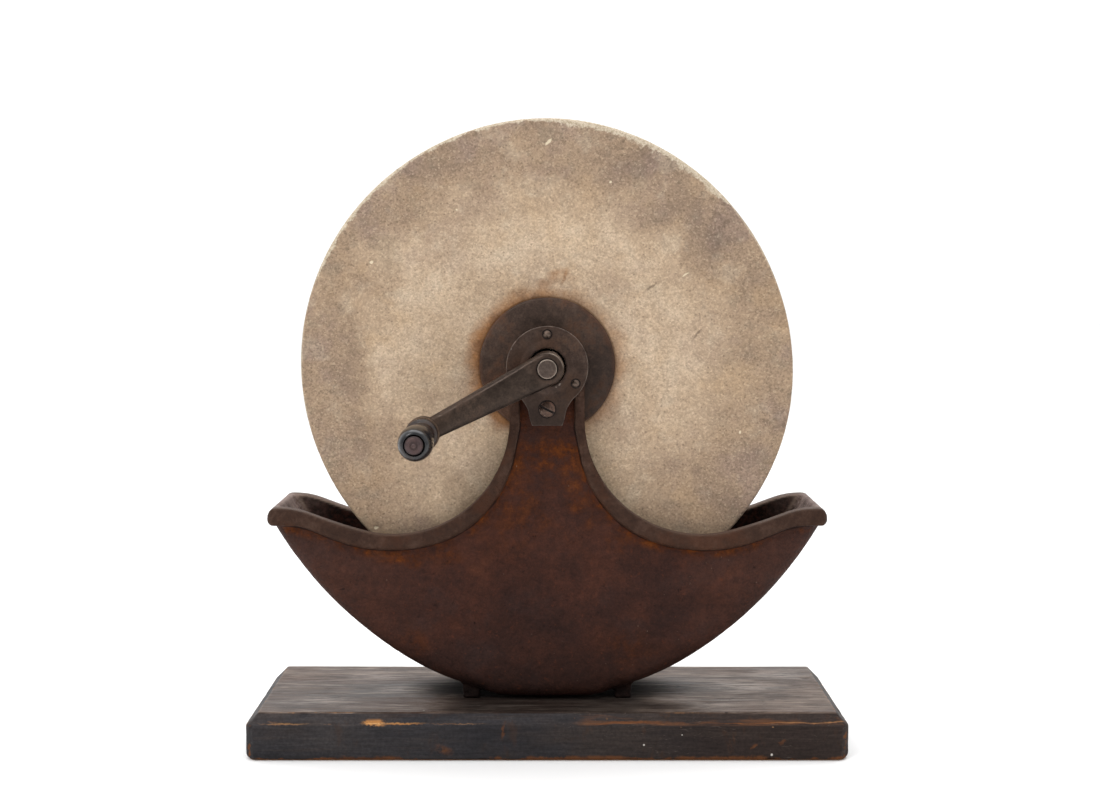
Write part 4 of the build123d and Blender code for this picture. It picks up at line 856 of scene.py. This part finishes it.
def build_stone():
    N = 1200
    R, H, EYE = 0.1525, 0.0225, 0.0155
    th = np.arange(N) * 2 * np.pi / N
    deg = np.degrees(th)
    c, s = np.cos(th), np.sin(th)
    r_in = EYE / np.maximum(np.abs(c), np.abs(s))
    k = np.fft.rfft(np.array(RIM_WEAR)) / len(RIM_WEAR)
    wear = k[0].real + sum(2 * (k[i] * np.exp(1j * i * th)).real for i in range(1, 9))
    ringpts = np.stack([c, np.zeros(N), s], 1)
    nz1 = field(ringpts, 14.0, 3, (3, 1, 2)) * 0.5
    nz2 = field(ringpts, 45.0, 3, (8, 1, 5)) * 0.5
    rr = R + wear / 1000.0 + nz1 * 0.00020 + nz2 * 0.00012

    def win(a, b, soft):
        return sstep(deg, a - soft, a + soft) * (1 - sstep(deg, b - soft, b + soft))
    # width of the rubbed arris
    wf = 0.0007 + 0.0022 * win(90, 158, 7) + 0.0052 * win(44, 88, 6) + 0.0010 * win(20, 44, 8) + 0.0006 * win(150, 200, 15)
    wf = wf * (1 + 0.55 * nz1 + 0.35 * nz2)
    wb = 0.0010 + 0.0022 * win(20, 120, 18) + 0.0012 * win(200, 330, 20)
    wb = wb * (1 + 0.6 * field(ringpts, 12.0, 3, (7, 5, 2)) * 0.5)
    hi = win(40, 160, 12)

    def side(seed, extra):
        q = 0.0017 + 0.0009 * extra + 0.0005 * nz1 + 0.0003 * field(ringpts, 25.0, 2, (seed, 4, 1))
        chips = np.clip(field(ringpts, 60.0, 3, (seed, 9, 2)) - 0.40, 0, 1) * 0.0026
        return np.clip(q, 0.0010, 0.0040), chips
    rf, cf = side(11.0, hi)
    rb, cb = side(23.0, 0.4 * hi)
    rows, eds, wws = [], [], []

    def row(r, y, w):
        rows.append(np.stack([r * c, np.full(N, 0.0) + y, ZC + r * s], 1))
        eds.append(np.maximum(rr - r, 0.0))
        wws.append(np.full(N, 0.0) + w)
    for sgn, rad, chips, w in ((-1, rf, cf, wf), (1, rb, cb, wb)):
        seq = []
        r_a = rr - rad - 0.013
        for kk in range(22):
            seq.append((r_in + (r_a - r_in) * (kk / 22) ** 0.85, np.full(N, sgn * H)))
        for kk in range(15):
            r = r_a + 0.013 * kk / 14
            d = rr - r
            bev = 0.13 * w * np.clip(1 - d / (w + 0.0012), 0, 1) ** 1.4
            seq.append((r, sgn * (H - bev)))
        bev_e = 0.13 * w * np.clip(1 - rad / (w + 0.0012), 0, 1) ** 1.4
        for kk in range(1, 8):
            a = kk / 8 * np.pi / 2
            cut = chips * np.sin(2 * a) + bev_e * (1 - kk / 8)
            r = rr - rad + rad * np.sin(a) - chips * np.sin(2 * a) * 0.7
            seq.append((r, sgn * (H - rad + rad * np.cos(a) - cut * 0.8)))
        if sgn > 0:
            y0, y1 = -(H - rf), (H - rb)
            # the running face is a little hollow in the middle
            for kk in range(17):
                t = kk / 16
                row(rr - 0.00035 * np.sin(np.pi * t), y0 + (y1 - y0) * t, w)
            seq = seq[::-1]
        for r, y in seq:
            row(r, y, w)
    P = len(rows)
    V = np.concatenate(rows)
    eds, wws = np.concatenate(eds), np.concatenate(wws)
    # fine unevenness of the faces: grains plucked out, shallow hollows, never proud of the true face
    rad_all = np.hypot(V[:, 0], V[:, 2] - ZC)
    onface = (np.abs(V[:, 1]) > 0.0215) & (rad_all > 0.045)
    idx = np.where(onface)[0]
    dy = np.zeros(len(V))
    dy[idx] = np.minimum(field(V[idx], 90.0, 3) * 0.00010 - np.abs(field(V[idx], 22.0, 2, (5, 5, 5))) * 0.00012, 0.0)
    V[:, 1] += np.sign(V[:, 1]) * dy
    # a few real dents in the front face: x, z from the axle, radius, depth
    for cx, cz, r, dep in ((0.0007, 0.1373, 0.0022, 0.0004), (-0.1070, -0.1018, 0.0022, 0.0006), (0.0855, 0.0560, 0.0018, 0.0003),
                           (-0.0405, 0.1078, 0.0046, 0.00025), (0.1060, 0.0820, 0.0060, 0.0004), (0.0640, 0.0990, 0.0050, 0.0003)):
        d = np.hypot(V[:, 0] - cx, V[:, 2] - ZC - cz)
        V[:, 1] += np.where(V[:, 1] < -0.0205, dep * np.exp(-(d / r) ** 2), 0.0)
    faces = []
    for kk in range(P):
        k2 = (kk + 1) % P
        i0 = np.arange(N)
        i1 = (i0 + 1) % N
        faces.append(np.stack([kk * N + i0, k2 * N + i0, k2 * N + i1, kk * N + i1], 1))
    F = np.concatenate(faces)
    me = bpy.data.meshes.new("grindstone_worn")
    me.from_pydata(V.tolist(), [], F.tolist())
    me.update()
    bm = bmesh.new()
    bm.from_mesh(me)
    bmesh.ops.recalc_face_normals(bm, faces=bm.faces)
    bm.to_mesh(me)
    bm.free()
    put_attr(me, "edge_d", eds)
    put_attr(me, "worn_w", wws)
    ob = bpy.data.objects.new("grindstone_worn", me)
    bpy.context.scene.collection.objects.link(ob)
    return finish_piece(ob, "sandstone", "rotor", "grindstone")


stone = build_stone()


# =============================================================================
# trough: the casting with a pebbly skin, softened arrises and pits
# =============================================================================
def build_trough():
    ob = from_node("trough", "trough_casting", 0.00125, smooth=3)
    me = ob.data
    V, Nn = coords(me), normals(me)
    x, y, z = V.T
    ax, ay = np.abs(x), np.abs(y)
    # masks
    low = np.array([(17.0, 244), (17.0, 206), (17.2, 198), (21.6, 176.5), (32.4, 153.6), (46, 139.2), (58, 131.6), (76, 125.5),
                    (95, 123.4), (109, 124.1), (121.5, 126.6), (134, 130.9), (146, 135.9), (158, 138.5), (169.3, 138.5)]) / 1000.0
    P2 = np.stack([ax, z], 1)
    d_low = poly_dist(P2, low)
    zlow = np.interp(ax, low[2:, 0], low[2:, 1])
    below = (z < zlow) & (ax > 0.0172) | (ax <= 0.0172)
    outer = ay > 0.0335
    endout = ax > 0.150
    under = np.where(outer & below & (ay < 0.0392), np.exp(-(d_low / 0.0062) ** 2), 0.0)
    rim = sstep(ay, 0.0372, 0.0386) * (1 - sstep(d_low, 0.0, 0.00005) * below)
    above = ~below & ((ax > 0.0172) | (z > 0.25))
    rim = np.maximum(sstep(ay, 0.0368, 0.0384), np.where(above & (ay > 0.0290), 1.0, 0.0))
    rim = np.where((ax < 0.0165) & (z < 0.219), 0.0, rim)
    # inside of the trough, its sloping end walls and the lips over them
    rad1 = np.hypot(x, z - 0.197)
    rad2 = np.hypot(ax + 0.038154, z - 0.25806)
    inner = ((ax < 0.0848) & (rad1 < 0.1612)) | ((ax >= 0.0848) & (rad2 < 0.2333))
    inside = np.where((ay < 0.0312) & inner, 1.0, 0.0)
    facing = (Nn[:, 2] > 0.05) | (Nn[:, 0] * np.sign(x) < -0.20) | (np.abs(Nn[:, 1]) > 0.60)
    horn = np.where((ay < 0.0318) & (ax > 0.120) & (z > 0.095) & facing & (rad2 < 0.2352), 1.0, 0.0)
    inside = np.maximum(inside, horn)
    end_wall = horn * sstep(ax, 0.138, 0.157) * (1 - 0.70 * sstep(np.abs(Nn[:, 1]), 0.70, 0.95))
    lip = sstep(ax, 0.1640, 0.1672) * sstep(z, 0.1385, 0.1410) * sstep(Nn[:, 2], 0.15, 0.65) * (ay < 0.033)
    inside = np.where(lip > 0.3, 0.0, inside)
    # the line just under the rim, where the material paints a shadow
    groove = np.where(outer & (ay < 0.0388), np.exp(-(d_low / 0.0011) ** 2), 0.0) * np.where(z < 0.203, 1.0, 0.3)
    # upper face of the rim and its inner arris, where the material paints a highlight
    crown = sstep(np.hypot(Nn[:, 0], Nn[:, 2]) * np.sign(Nn[:, 2] + Nn[:, 0] * np.sign(x) * -0.6), 0.55, 0.92)
    arris = np.where(above & (ay > 0.0300), crown, 0.0) * sstep(ay, 0.0425, 0.0375)
    arris = np.where((ax < 0.0165) & (z < 0.240), 0.0, arris)
    mixn = np.minimum(np.abs(Nn[:, 1]), np.hypot(Nn[:, 0], Nn[:, 2]))
    inner_line = np.where(above & (ay < 0.0345) & (ay > 0.0290), sstep(mixn, 0.16, 0.50), 0.0)
    inner_line = np.where((ax < 0.0240) | (z > 0.200), inner_line * 0.3, inner_line)
    put_attr(me, "inner_line", inner_line)
    put_attr(me, "end_wall", end_wall)
    put_attr(me, "under_rim", under)
    put_attr(me, "rim", rim)
    put_attr(me, "lip", lip)
    put_attr(me, "inside", inside)
    put_attr(me, "groove", groove)
    put_attr(me, "arris", arris)
    # casting skin
    skin = field(V, 260.0, 3) * 0.000085 + field(V, 75.0, 2, (4, 4, 4)) * 0.00010
    wavy = field(V, 14.0, 2, (1, 8, 3)) * 0.00022
    pit = np.clip(field(V, 130.0, 2, (9, 2, 6)) - 0.55, 0, 1) * 0.0011
    low_left = np.exp(-((x + 0.083) / 0.030) ** 2 - ((z - 0.070) / 0.028) ** 2)
    pit2 = np.clip(field(V, 230.0, 2, (2, 7, 1)) - 0.22, 0, 1) * 0.0010 * low_left
    amp = np.where(rim > 0.5, 0.45, 1.0) * np.where(ay < 0.0312, 0.6, 1.0)
    # leave the seats of the bearings and the feet's soles true
    keep = sstep(np.hypot(x, z - ZC), 0.026, 0.034) * sstep(z, 0.0285, 0.031)
    disp = (skin + wavy - pit - pit2) * amp * keep
    # the feet's fins are rough from the mould
    foot = np.exp(-((ax - 0.0475) / 0.0085) ** 2) * (1 - sstep(z, 0.036, 0.046)) * sstep(z, 0.0286, 0.0310)
    disp = disp + foot * (field(V, 170.0, 3, (5, 0, 7)) * 0.00095 - 0.00045 + field(V, 420.0, 2, (1, 6, 7)) * 0.00030)
    V2 = V + Nn * disp[:, None]
    # the bottom sags a little flatter between the feet
    sag = np.exp(-((ax - 0.030) / 0.0115) ** 2) * (1 - sstep(z, 0.040, 0.052)) * sstep(-Nn[:, 2], 0.10, 0.50)
    V2[:, 2] = np.maximum(V2[:, 2] - 0.0017 * sag, np.minimum(V2[:, 2], 0.0286))
    set_coords(me, V2)
    return finish_piece(ob, "trough_iron", "frame", "trough")


trough = build_trough()


# =============================================================================
# board: softened, dented edges and a raised grain
# =============================================================================
def build_board():
    ob = from_node("base_board", "base_board_worn", 0.00115, smooth=3)
    me = ob.data
    V, Nn = coords(me), normals(me)
    x, y, z = V.T
    ax, ay = np.abs(x), np.abs(y)
    # how close to an outer edge, by how mixed the normal is
    sharp = 1 - np.max(np.abs(Nn), axis=1)
    edge_n = sstep(sharp, 0.02, 0.22)
    wob = field(V, 22.0, 3, (2, 2, 9))
    nick = np.clip(field(V, 70.0, 3, (6, 1, 4)) - 0.34, 0, 1)
    G = V * np.array([0.10, 1.0, 1.0])
    grain = field(G, 190.0, 3, (0, 3, 1)) * 0.00007 + field(G, 520.0, 2, (3, 3, 1)) * 0.00004
    wav = field(V * np.array([0.5, 1, 1]), 9.0, 2, (7, 7, 0)) * 0.00025
    disp = grain + np.minimum(wav, 0.00005) - edge_n * (0.00030 + 0.00028 * wob + 0.0018 * nick)
    disp = np.where(z < 0.0006, np.minimum(disp, 0) * 0.15, disp)
    # dents in the front face and top
    for cx, cy, cz, r, dep in ((0.125, -0.071, 0.0085, 0.0030, 0.00035), (0.142, -0.071, 0.0112, 0.0028, 0.00030),
                               (-0.105, -0.0700, 0.0224, 0.0060, 0.00045), (0.1693, 0.0275, 0.028, 0.0036, 0.00060),
                               (-0.140, -0.020, 0.028, 0.0070, 0.00030), (0.098, -0.040, 0.028, 0.0040, 0.00030),
                               (-0.176, -0.066, 0.012, 0.0050, 0.00060), (0.060, 0.0705, 0.014, 0.004, 0.0004)):
        d = np.sqrt((x - cx) ** 2 + (y - cy) ** 2 + (z - cz) ** 2)
        disp = disp - dep * np.exp(-(d / r) ** 2)
    V2 = V + Nn * disp[:, None]
    # the corners are rounded off in plan
    rc = 0.0052
    cu, cv = np.abs(V2[:, 0]) - (0.1831 - rc), np.abs(V2[:, 1]) - (0.071 - rc)
    hc = np.hypot(cu, cv)
    kc = np.where((cu > 0) & (cv > 0) & (hc > rc), rc / np.maximum(hc, 1e-9), 1.0)
    V2[:, 0] = np.where(kc < 1, np.sign(V2[:, 0]) * ((0.1831 - rc) + cu * kc), V2[:, 0])
    V2[:, 1] = np.where(kc < 1, np.sign(V2[:, 1]) * ((0.071 - rc) + cv * kc), V2[:, 1])
    # the ends and long sides are rubbed round along their lower edges
    for axis, half in ((0, 0.1831), (1, 0.071)):
        rb = 0.0046 if axis == 0 else 0.0012
        u = np.abs(V2[:, axis]) - (half - rb)
        w = rb - V2[:, 2]
        h_ = np.hypot(u, w)
        k_ = np.where((u > 0) & (w > 0) & (h_ > rb), rb / np.maximum(h_, 1e-9), 1.0)
        V2[:, axis] = np.where(k_ < 1, np.sign(V2[:, axis]) * ((half - rb) + u * k_), V2[:, axis])
        V2[:, 2] = np.where(k_ < 1, rb - w * k_, V2[:, 2])
    lo, hi = np.array([-0.1831, -0.071, 0.0]), np.array([0.1831, 0.071, 0.028])
    V2 = np.clip(V2, lo, hi)
    set_coords(me, V2)
    return finish_piece(ob, "board_paint", "frame", "base_board")


board = build_board()


# =============================================================================
# forged and pressed pieces: CAD shape with blended corners
# =============================================================================
def skin(ob, amp1, s1, amp2, s2):
    me = ob.data
    V, Nn = coords(me), normals(me)
    set_coords(me, V + Nn * (field(V, s1, 2) * amp1 + field(V, s2, 2, (3, 1, 4)) * amp2)[:, None])
    return ob


def build_crank():
    ob = skin(from_node("crank_arm", "crank_forged", 0.00042, smooth=22), 0.00009, 60.0, 0.00004, 260.0)
    me = ob.data
    V, Nn = coords(me), normals(me)
    L = math.hypot(PX, PZ - ZC)
    ux, uz = PX / L, (PZ - ZC) / L
    along = V[:, 0] * ux + (V[:, 2] - ZC) * uz
    across = -V[:, 0] * uz + (V[:, 2] - ZC) * ux            # positive on the lower side
    # half-width of the arm at each station, from the mesh itself
    bins = np.clip((along / L * 60).astype(int), 0, 59)
    hw = np.array([np.abs(across[bins == b]).max() if (bins == b).any() else 0.008 for b in range(60)])
    hw = np.convolve(np.pad(hw, 3, mode="edge"), np.ones(7) / 7, mode="valid")
    t = across / np.maximum(np.interp(along / L * 60 - 0.5, np.arange(60), hw), 0.004)
    mid = sstep(along, 0.011, 0.018) * (1 - sstep(along, L - 0.017, L - 0.010))
    front = sstep(-Nn[:, 1], 0.25, 0.70)
    V[:, 1] += front * mid * 0.0008 * np.abs(np.clip(t, -1, 1)) ** 2.2
    set_coords(me, V)
    # mask for painted shade on the arm's under side
    low = sstep(t, 0.30, 0.98) * 0.75 * sstep(along, 0.006, 0.014)
    put_attr(me, "below", np.maximum(sstep(-Nn[:, 2], 0.15, 0.70) * 0.8, low * sstep(-Nn[:, 1], -0.2, 0.4)))
    return ob


crank = build_crank()
finish_piece(crank, "crank_iron", "rotor", "crank_arm")
for nm in ("front_flange", "rear_flange"):
    o = skin(from_node(nm, nm + "_iron", 0.00060, smooth=2), 0.00006, 90.0, 0.00004, 330.0)
    finish_piece(o, "flange_iron", "rotor", nm)
for nm in ("front_bearing_plate", "rear_bearing_plate"):
    o = skin(from_node(nm, nm + "_pressed", 0.00036, smooth=2), 0.00005, 70.0, 0.00002, 300.0)
    finish_piece(o, "plate_steel", "frame", nm)
# small turned and headed pieces: arrises rounded a little, faces no longer dead flat
for nm, new, vox, it, amp in (("front_plate_rivets", "front_rivets_headed", 0.00017, 3, 0.00003),
                              ("rear_plate_rivets", "rear_rivets_headed", 0.00017, 3, 0.00003),
                              ("front_plate_screw", "front_screw_slotted", 0.00017, 2, 0.00003),
                              ("rear_plate_screw", "rear_screw_slotted", 0.00017, 2, 0.00003),
                              ("trough_mounting_screws", "board_screws_worn", 0.00022, 2, 0.00002),
                              ("flange_nut", "flange_nut_worn", 0.00030, 3, 0.00004),
                              ("axle", "axle_turned", 0.00026, 3, 0.00003),
                              ("handle_spindle", "spindle_turned", 0.00020, 3, 0.00002),
                              ("handle_washer", "washer_turned", 0.00020, 2, 0.00002),
                              ("front_bearing_cup", "front_cup_pressed", 0.00026, 2, 0.00002),
                              ("rear_bearing_cup", "rear_cup_pressed", 0.00026, 2, 0.00002),
                              ("front_bearing_cone", "front_cone_ground", 0.00022, 2, 0.00001),
                              ("rear_bearing_cone", "rear_cone_ground", 0.00022, 2, 0.00001),
                              ("crank_key_pin", "key_pin_turned", 0.00018, 2, 0.00001)):
    o = skin(from_node(nm, new, vox, smooth=it), amp, 160.0, amp * 0.5, 600.0)
    finish_piece(o, SLOT_OF[nm], BODY_OF[nm], nm)


# =============================================================================
# handle grip, turned
# =============================================================================
def build_grip():
    prof = [(0.00366, 0.0689), (0.0080, 0.0689), (0.0090, 0.06925), (0.00965, 0.0700), (0.0099, 0.0712), (0.0097, 0.0724),
            (0.0091, 0.0733), (0.0083, 0.0739), (0.00775, 0.0744), (0.0074, 0.0753), (0.00715, 0.0772), (0.00697, 0.0798),
            (0.0069, 0.0830), (0.00692, 0.0862), (0.0071, 0.0895), (0.0075, 0.0932), (0.0080, 0.0972), (0.0085, 0.1012),
            (0.0090, 0.1052), (0.0095, 0.1092), (0.00992, 0.1132), (0.01018, 0.1166), (0.01025, 0.1198), (0.01020, 0.1226),
            (0.01008, 0.1250), (0.00988, 0.1272), (0.00955, 0.1293), (0.0091, 0.1311), (0.00852, 0.1326), (0.0078, 0.1337),
            (0.0071, 0.13435), (0.0065, 0.13455), (0.00615, 0.1345), (0.0060, 0.13425), (0.00595, 0.1338), (0.00595, 0.1321), (0.00366, 0.1321)]
    n = 120
    bm = bmesh.new()
    rings = []
    for r, d in prof:
        rings.append([bm.verts.new((PX + r * math.cos(2 * math.pi * j / n), -d, PZ + r * math.sin(2 * math.pi * j / n))) for j in range(n)])
    for a, b in zip(rings, rings[1:] + rings[:1]):
        for j in range(n):
            bm.faces.new((a[j], a[(j + 1) % n], b[(j + 1) % n], b[j]))
    bmesh.ops.recalc_face_normals(bm, faces=bm.faces)
    me = bpy.data.meshes.new("handle_grip_turned")
    bm.to_mesh(me)
    bm.free()
    ob = bpy.data.objects.new("handle_grip_turned", me)
    bpy.context.scene.collection.objects.link(ob)
    sub = ob.modifiers.new("sub", "SUBSURF")
    sub.levels = sub.render_levels = 1
    return finish_piece(ob, "grip_black", "grip", "handle_grip")


grip = build_grip()

# CAD nodes that stay get their materials
shown = {"grindstone", "trough", "base_board", "crank_arm", "front_flange", "rear_flange",
         "front_bearing_plate", "rear_bearing_plate", "handle_grip"}
for n, o in NODES.items():
    o.data.materials.clear()
    o.data.materials.append(M[SLOT_OF[n]])

# =============================================================================
# stage, lights and camera
# =============================================================================
me = bpy.data.meshes.new("floor")
me.from_pydata([(-8, -8, 0), (8, -8, 0), (8, 8, 0), (-8, 8, 0)], [], [(0, 1, 2, 3)])
floor = bpy.data.objects.new("floor", me)
bpy.context.scene.collection.objects.link(floor)
floor.location.z = -0.0002
fm = Mat("floor")
fm.done((0.98, 0.98, 0.98, 1), 0.9, spec=0.1)
me.materials.append(fm.m)

# an even white studio: brightest overhead and behind the object, weaker from the front
world = bpy.data.worlds.new("studio")
bpy.context.scene.world = world
world.use_nodes = True
wt = world.node_tree
wt.nodes.clear()
wo = wt.nodes.new("ShaderNodeOutputWorld")
bg = wt.nodes.new("ShaderNodeBackground")
tc = wt.nodes.new("ShaderNodeTexCoord")
sx = wt.nodes.new("ShaderNodeSeparateXYZ")
mr = wt.nodes.new("ShaderNodeMapRange")
mr.inputs["From Min"].default_value, mr.inputs["From Max"].default_value = -0.9, 0.7
mr.inputs["To Min"].default_value, mr.inputs["To Max"].default_value = 0.36, 1.10
mz = wt.nodes.new("ShaderNodeMapRange")
mz.inputs["From Min"].default_value, mz.inputs["From Max"].default_value = 0.0, 1.0
mz.inputs["To Min"].default_value, mz.inputs["To Max"].default_value = 0.0, 0.42
ad = wt.nodes.new("ShaderNodeMath")
ad.operation = "ADD"
wt.links.new(tc.outputs["Generated"], sx.inputs[0])
wt.links.new(sx.outputs[1], mr.inputs["Value"])
wt.links.new(sx.outputs[2], mz.inputs["Value"])
wt.links.new(mr.outputs[0], ad.inputs[0])
wt.links.new(mz.outputs[0], ad.inputs[1])
wt.links.new(ad.outputs[0], bg.inputs["Strength"])
bg.inputs["Color"].default_value = (1, 1, 1, 1)
wt.links.new(bg.outputs[0], wo.inputs["Surface"])


def area(name, loc, target, size, power, color=(1, 1, 1)):
    l = bpy.data.lights.new(name, "AREA")
    l.shape = "RECTANGLE"
    l.size, l.size_y = size
    l.energy = power
    l.color = color
    o = bpy.data.objects.new(name, l)
    bpy.context.scene.collection.objects.link(o)
    o.location = loc
    o.rotation_mode = "QUATERNION"
    o.rotation_quaternion = (Vector(target) - Vector(loc)).to_track_quat("-Z", "Y")
    return o


area("key", (-0.9, -1.3, 1.45), (0, 0, 0.2), (0.70, 0.60), 11.5)
area("fill", (1.4, -1.2, 0.9), (0, 0, 0.2), (1.0, 1.0), 2.0)
area("top", (0.1, 0.35, 1.7), (0, 0, 0.1), (1.8, 1.2), 14.0)

cam = bpy.data.cameras.new("camera")
cam.sensor_width = 36.0
cam.lens = 59.505
cam.clip_start, cam.clip_end = 0.02, 100
co = bpy.data.objects.new("camera", cam)
bpy.context.scene.collection.objects.link(co)
co.location = (0.0017, -1.150, 0.3007)
co.rotation_euler = (math.radians(85.5), 0, 0)
bpy.context.scene.camera = co

vs_ = bpy.context.scene.view_settings
vs_.view_transform = "Standard"
vs_.look = "None"
vs_.exposure = 0.0
vs_.gamma = 1.0
